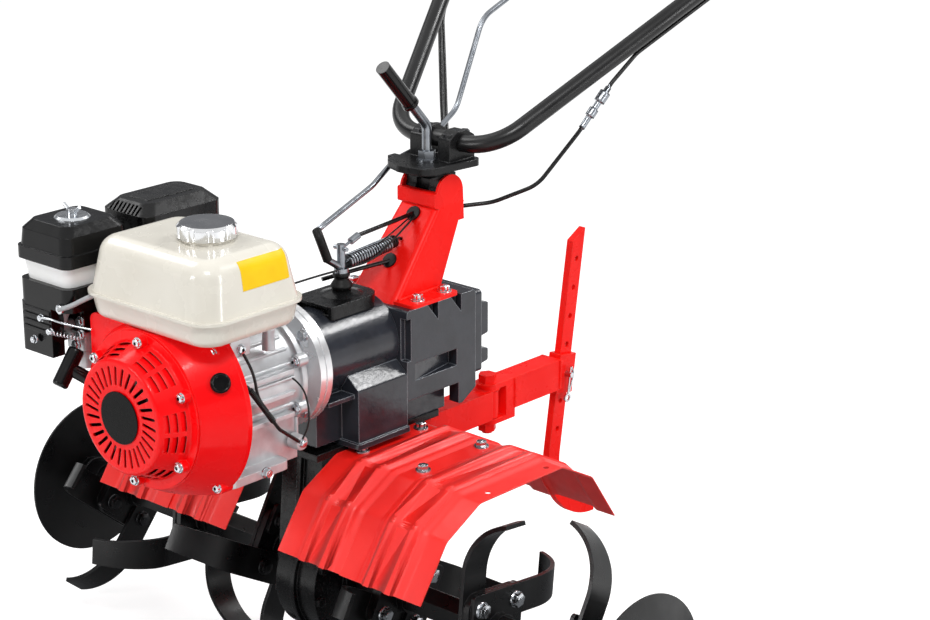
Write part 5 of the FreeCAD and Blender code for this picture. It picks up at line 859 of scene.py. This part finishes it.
def swage(x):
    """How far the pressed bands lift the sheet at this distance from the mirror plane, in millimetres."""
    share = min(max((from_low_band(x) - SWAGE_LOW) / (SWAGE_HIGH - SWAGE_LOW), 0), 1)
    return SWAGE_RISE * share * share * (3 - 2 * share)


def pressed(node, finish, folds):
    """A copy of a guard's sheet with wide bands pressed up in it, square to each of its flats."""
    work = copied(node)
    span = [vertex.co.x * 1000 for vertex in work.verts]
    cut = math.ceil(min(span) / SWAGE_CUT) * SWAGE_CUT
    while cut < max(span):
        if SWAGE_LOW - SWAGE_MARGIN < from_low_band(cut) < SWAGE_HIGH + SWAGE_MARGIN:
            sliced(work, (mm(cut), 0, 0), LEFTWARD)
        cut += SWAGE_CUT
    for vertex in work.verts:
        y = vertex.co.y * 1000 + AXLE_AHEAD
        shares = [angle * min(max((y - fold) / FOLD_WIDTH + 0.5, 0), 1) for fold, angle in folds]
        lean = math.radians(sum(shares))
        vertex.co += Vector((0, math.sin(lean), math.cos(lean))) * mm(swage(vertex.co.x * 1000))
    name = node + "_pressed"
    piece = settle(name, triangles(name, work), finish, sharp=PRESSED_SHARP)
    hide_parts(node)
    return piece


# ---------------- screws, in the order of SCREW_SIZES, in mm
M5_GUARD = (8, 3, 6, 1, 2, 3.6)
M5_IDLE = (8, 4.4, 5.6, 1.2, 2.2, 6.2)
M5_EARTH = (9, 3.2, 6.4, 1.2, 2.2, 4.2)
M6_FLANGED = (10.5, 3.6, 7.4, 1.3, 2.6, 4.9)
M6_NUT = (10, 5, 7.4, 1.6, 3, 6.5)
DRAIN_PLUG = (11.5, 6, 7.6, 2, 3, 8.4)
M8_ADAPTER = (13, 5, 9, 1.5, 3, 7)
M8_COVER = (13, 6, 9.4, 1.6, 3.4, 7)
M8_ON_WASHER = (13.6, 6.3, 10.9, 2.2, 3.6, 9.2)
M8_BARE = (13.6, 8.4, 8.6, 0.8, 3.4, 9.6)
M12_HEAD = (18.7, 6.4, 12.2, 1.6, 5, 8.6)
M12_NUT = (18.7, 9, 12.2, 1.6, 6.2, 13.4)

# ---------------- engine
CRANK_HEIGHT = 340  # mm, crankshaft above the axle
COWL_SCREW_RADIUS = 96  # mm about the crankshaft, as the next two
CRANKCASE_SCREW_RADIUS = 85
ADAPTER_SCREW_RADIUS = 77
RIB_RADIUS = 80.4  # mm, middle of the ribs on the crankcase's flank
RIB_ANGLES = (-44, -31, -18, -5, 9, 23, 37, 50)
FAN_Y = -374
FAN_DISC = [(69, -10), (69, -7)]  # mm, its radius and heights behind the vanes
SWITCH_ANGLE = 26  # degrees, the stop switch round the cowl
COWL_SLOPE = 30 / 54  # how fast the cowl's skin narrows forwards
COWL_RADIUS = 107  # mm, cowl where its slope starts
SWITCH_BACK = 31  # mm from there to the switch
SWITCH_Y = -320
WELD_RIPPLE = 2.8  # mm between the ripples of a weld


def round_place(radius, y, degrees):
    """A place on an upright circle about the crankshaft's line."""
    turn = math.radians(degrees)
    return radius * math.cos(turn), y, CRANK_HEIGHT + radius * math.sin(turn)


def round_places(radius, y, start, count):
    """Places spread evenly round that circle."""
    return [round_place(radius, y, start + 360 * k / count) for k in range(count)]


def stop_switch(out):
    """The way the stop switch faces, and a place on its line this far outside the cowl's skin."""
    turn = math.radians(SWITCH_ANGLE)
    facing = Vector((math.cos(turn), -COWL_SLOPE, math.sin(turn))).normalized()
    seat = Vector(round_place(COWL_RADIUS + COWL_SLOPE * SWITCH_BACK, SWITCH_Y, SWITCH_ANGLE))
    return facing, seat + facing * out


def dress_engine():
    """Screws, fan, ribs, switch ring, plain film and leads of the engine."""
    cowl = round_places(COWL_SCREW_RADIUS, -364, 25, 6) + [(89, -309, 426), (88, -309, 243)]
    screws("cowl_screws", cowl, FORWARD, M6_FLANGED, "zinc")
    crankcase = round_places(CRANKCASE_SCREW_RADIUS, -157, 22.5, 8)
    screws("crankcase_screws", crankcase, FORWARD, M6_FLANGED, "zinc")
    adapter = round_places(ADAPTER_SCREW_RADIUS, -118, 45, 4)
    screws("adapter_screws", adapter, FORWARD, M8_ADAPTER, "zinc")
    screws("drain_plug", [(92, -228, 241)], LEFTWARD, DRAIN_PLUG, "zinc")
    fan = closed_skin("cooling_fan", lathe(FAN_DISC, 48))
    sizes = {"Ring radius": mm(51), "Vane length": mm(32), "Vane depth": mm(14), "Vane thickness": mm(2.2)}
    vanes = from_nodes("cooling_fan", fan, FAN_TREE, sizes, "black plastic")
    seat = Matrix.Translation(at(0, FAN_Y, CRANK_HEIGHT))
    vanes.data.transform(seat @ Matrix.Rotation(math.pi / 2, 4, "X"))
    # a black cone behind the cowl's outer slots: painted shade, so that those slots read dark
    turned("painted_shade_cone", [(74.5, 0), (87.4, 22), (86.4, 23), (73, 1)],
           (0, -382, CRANK_HEIGHT), REARWARD, "black plastic", steps=48)
    ribs = [[round_place(RIB_RADIUS, y, angle) for y in (-288, -161)] for angle in RIB_ANGLES]
    ribs += [[(70.6, y, 246), (70.6, y, 292)] for y in (-281, -150)]
    beads("crankcase_ribs", ribs, 2.6, 30, 0.02, "die cast")
    facing, foot = stop_switch(4.6)
    turned("stop_switch_ring", [(11.6, 0), (11.6, 2.2), (10.8, 3), (9.7, 2.6), (9.7, 0.4)],
           foot, facing, "black plastic")
    film("tank_film", "fuel_tank", (-290, 511), (-209, 547), 0.4, "yellow film")
    sleeve = [(97, -256, 364.2), (97, -236, 337), (97, -216, 309.8)]
    beads("stop_lead_sleeve", [sleeve], 3.7, 2.6, 0.14, "cable sheath")
    earth = [(88, -172, 356), (95, -160, 344), (98, -152, 312), (98, -154, 284), (92, -160, 268)]
    wire("earth_lead", earth, 1.3, "cable sheath")
    boss = [(11, 0), (10.4, 16), (9.4, 18), (4, 18)]
    turned("earth_boss", boss, (74, -160, 262), LEFTWARD, "die cast", steps=28)
    screws("earth_screw", [(92, -160, 262)], LEFTWARD, M5_EARTH, "zinc")


def dress_tank_bracket():
    """The bracket and post under the tank's left front corner, and the lead that rises to them."""
    outline = [(-15, -16), (15, -16), (17, 2), (12, 16), (-12, 16), (-17, 2)]
    plate("tank_bracket", outline, [(0, -7, 3.4)], 9, (84, -262, 426), REARWARD, UPWARD, "die cast", 2)
    screws("tank_bracket_screw", [(88.5, -262, 419)], LEFTWARD, M6_FLANGED, "zinc")
    turned("tank_bracket_post", [(9, 0), (8, 22), (9.5, 26), (9.5, 30)],
           (70, -196, 398), UPWARD, "die cast", steps=24)
    rise = [(90, -262, 417), (98, -258, 402), (100, -250, 380), (98, -244, 352), (98, -236, 340)]
    wire("stop_lead_rise", rise, 2, "cable sheath")


def dress_carburettor():
    """The throttle lever, the small screws, and the governor's rod and spring by the air cleaner."""
    lever = [(-134, -374, 451), (-118, -372, 456), (-96, -352, 472), (-84, -340, 478)]
    wire("throttle_lever", lever, 3.4, "grey plastic")
    turned("throttle_lever_pivot", [(6.4, 0), (6.4, 4), (5, 5), (2.6, 5), (2.6, 7)],
           (-134, -370, 451), FORWARD, "zinc", steps=24)
    idle = [(-174.8, -370, 430), (-158, -370, 415), (-186, -374.5, 399)]
    screws("idle_screws", idle, FORWARD, M5_IDLE, "zinc")
    flange = [(-140, -334, 424), (-140, -334, 406), (-150, -334, 390)]
    screws("carburettor_screws", flange, FORWARD, M6_NUT, "zinc")
    rod = [(-174, -375, 431), (-156, -374, 434), (-140, -368, 430), (-124, -352, 424), (-112, -340, 420)]
    wire("governor_rod", rod, 1.4, "zinc")
    spring = coil((-157, -374, 415), (-118, -350, 408), 3, 9)
    wire("governor_spring", spring, 0.8, "zinc", sides=6)
    turned("bowl_drain_plug", [(5, 0), (5, 5), (3.6, 6), (3.6, 9)], (-165, -318, 352),
           DOWNWARD, "brass", steps=6)


def dress_muffler_guard():
    places = [(x, -236.2, 478) for x in (-198, -132)]
    screws("guard_screws", places, FORWARD, M5_GUARD, "dark steel and coil shade")


# ---------------- drive and rotor
TINE_BOLT_HALF = 35  # mm, half of the square that a set's four bolts make
TINE_REACH = 168  # mm from the axle to a tine's tip along its blade
TINE_STATIONS = ((120, 72.463), (285, 96), (450, 72.463),
                 (-120, 72.463), (-285, 96), (-450, 62))  # x in mm, degrees of the first tip
BOLT_SEAT = 11  # mm from a flange's middle to the bolts' seats
HUB_WELD_RADIUS = 24.6  # mm
HUB_WELD_OUT = 5.6  # mm from a flange's middle
DISC_WELD_X = 541  # mm


def tine_bolt_places(station, first_tip):
    """Where the four bolts of a tine set stand, about the axle."""
    spin = math.radians(first_tip - 90 - math.degrees(math.atan2(TINE_BOLT_HALF, TINE_REACH)))
    places = []
    for k in range(4):
        turn = spin + k * math.pi / 2
        y = -TINE_BOLT_HALF * math.cos(turn) - TINE_BOLT_HALF * math.sin(turn)
        z = -TINE_BOLT_HALF * math.sin(turn) + TINE_BOLT_HALF * math.cos(turn)
        places.append((station, y, z))
    return places


def dress_rotor():
    """Bolts, nuts and hub welds of the six tine sets, and the welds of the discs."""
    heads = []
    nuts = []
    hubs = []
    for station, tip in TINE_STATIONS:
        for x, y, z in tine_bolt_places(station, tip):
            heads.append((x + BOLT_SEAT, y, z))
            nuts.append((x - BOLT_SEAT, y, z))
        for side in (-1, 1):
            hubs.append(ring_path((station + side * HUB_WELD_OUT, 0, 0), HUB_WELD_RADIUS, "x"))
    left = [place for place in heads if place[0] > 0]
    right = [place for place in heads if place[0] < 0]
    screws("tine_bolt_heads_left", left, LEFTWARD, M12_HEAD, "zinc", "tine_rotor")
    screws("tine_bolt_heads_right", right, LEFTWARD, M12_HEAD, "dark steel and coil shade", "tine_rotor")
    screws("tine_bolt_nuts", nuts, RIGHTWARD, M12_NUT, "zinc", "tine_rotor")
    beads("tine_hub_welds", hubs, 2.4, 2.6, 0.16, "black powder", "tine_rotor")
    discs = [ring_path((side * DISC_WELD_X, 0, 0), HUB_WELD_RADIUS, "x") for side in (-1, 1)]
    beads("disc_hub_welds", discs, 2.2, 2.6, 0.16, "black powder", "tine_rotor")


def dress_gearbox():
    """Bolts of the rear cover, and the return spring's wire round its core, whose dark finish is painted
    shade between the turns.
    """
    lugs = [(side * 24, 247, z) for side in (1, -1) for z in (276, 332)]
    screws("rear_cover_bolts", lugs, REARWARD, M8_COVER, "dark steel and coil shade")
    spring = coil((0, 19, 453), (0, 112, 461), 9.4, 17)
    wire("return_spring_wire", spring, 1.5, "zinc rod", sides=6)


# ---------------- guards, column and hitch
GUARD_BOLT_Y = (-25, 93)
GUARD_TOP = 204  # mm, the guards' flat tops above the axle
GUARD_BOLTS = ((70, 2), (184, 4))  # mm from the mirror plane, and sheet under the head
GUARD_FOLDS = ((-1000, -55.6), (-122, 27.6), (-58, 28), (110, 28), (174, 27.6))  # y, degrees


def dress_chassis():
    """Screws of the guards and the column, and the welds of the column's foot and the hitch."""
    tops = []
    for side in (1, -1):
        for x, sheet in GUARD_BOLTS:
            tops += [(side * x, y, GUARD_TOP + sheet) for y in GUARD_BOLT_Y]
    screws("fender_screws", tops, UPWARD, M8_ON_WASHER, "zinc")
    column = [(side * 61.5, y, 393) for side in (1, -1) for y in (97, 152)]
    screws("column_screws", column, UPWARD, M8_ON_WASHER, "zinc")
    foot = [[(side * 46.4, 74, 394), (side * 46.4, 158, 394)] for side in (1, -1)]
    beads("column_foot_welds", foot, 2.4, WELD_RIPPLE, 0.14, "red powder")
    hanger = [[(side * 25.6, 134, 188), (side * 25.6, 160, 188)] for side in (1, -1)]
    barrel = ring_path((0, 314, 189.2), 17.2, "z")
    beads("hitch_welds", hanger + [barrel], 2.2, WELD_RIPPLE, 0.14, "red powder")


def dress_guards():
    """The guards' sheets with their wide pressed bands."""
    for node in both_sides("fender_inner", "fender_outer"):
        pressed(node, "red sheet", GUARD_FOLDS)


def dress_hitch():
    seams = [[(side * 18.3, y, 152), (side * 18.3, y, 198)] for y in (357, 463) for side in (1, -1)]
    beads("drawbar_welds", seams, 2.4, WELD_RIPPLE, 0.14, "red powder", "hitch")


# ---------------- handlebar and controls
CABLE_JOIN = 264  # y in mm where the clutch cable's foot meets its rise
ADJUSTER_SPAN = (327.5, 372.5)  # y in mm of the adjuster's ends


def dress_handlebar():
    clamps = [(side * 27, y, 596.5) for side in (1, -1) for y in (199, 233)]
    screws("clamp_screws", clamps, UPWARD, M8_BARE, "dark steel and coil shade", "handlebar")


def dress_cables():
    """Thin inner cables from the upper hole of the column to the clutch post and the engine."""
    throttle = [(10, 148, 493), (14, 100, 470), (12, 60, 448), (4, 10, 446), (-14, -40, 440), (-30, -92, 432)]
    wire("throttle_cable", throttle, 1.5, "cable sheath")
    clutch = [(4, 150, 494), (6, 108, 478), (5, 66, 462), (3, 24, 450)]
    wire("clutch_inner_cable", clutch, 1.1, "cable sheath")


def dress_moving_parts():
    """Copies of the rods and cables that cross a joint, with their long edges divided; the clutch cable is
    cut into lengths between places in millimetres.
    """
    bending("shift_rod_lower_bending", "shift_rod_lower", "zinc rod")
    bending("shift_rod_middle_bending", "shift_rod_middle", "zinc rod")
    bending("clutch_cable_foot", "clutch_cable", "cable sheath",
            ahead=CABLE_JOIN)
    low, high = ADJUSTER_SPAN
    for name, finish, behind, ahead in (("clutch_cable_rise", "cable sheath", CABLE_JOIN, low),
                                        ("clutch_cable_adjuster", "zinc rod", low, high),
                                        ("clutch_cable_top", "cable sheath", high, None)):
        bending(name, "clutch_cable", finish,
                ahead=ahead, behind=behind)
    bending("control_cables_bending", "control_cables", "cable sheath")


set_camera()
set_view()
set_studio()
lay_floor()
hang_reflected_band()
lay_reflected_shadow()
set_lights()
finish_nodes()
dress_engine()
dress_tank_bracket()
dress_carburettor()
dress_muffler_guard()
dress_gearbox()
dress_rotor()
dress_chassis()
dress_guards()
dress_handlebar()
dress_cables()
dress_hitch()
dress_moving_parts()
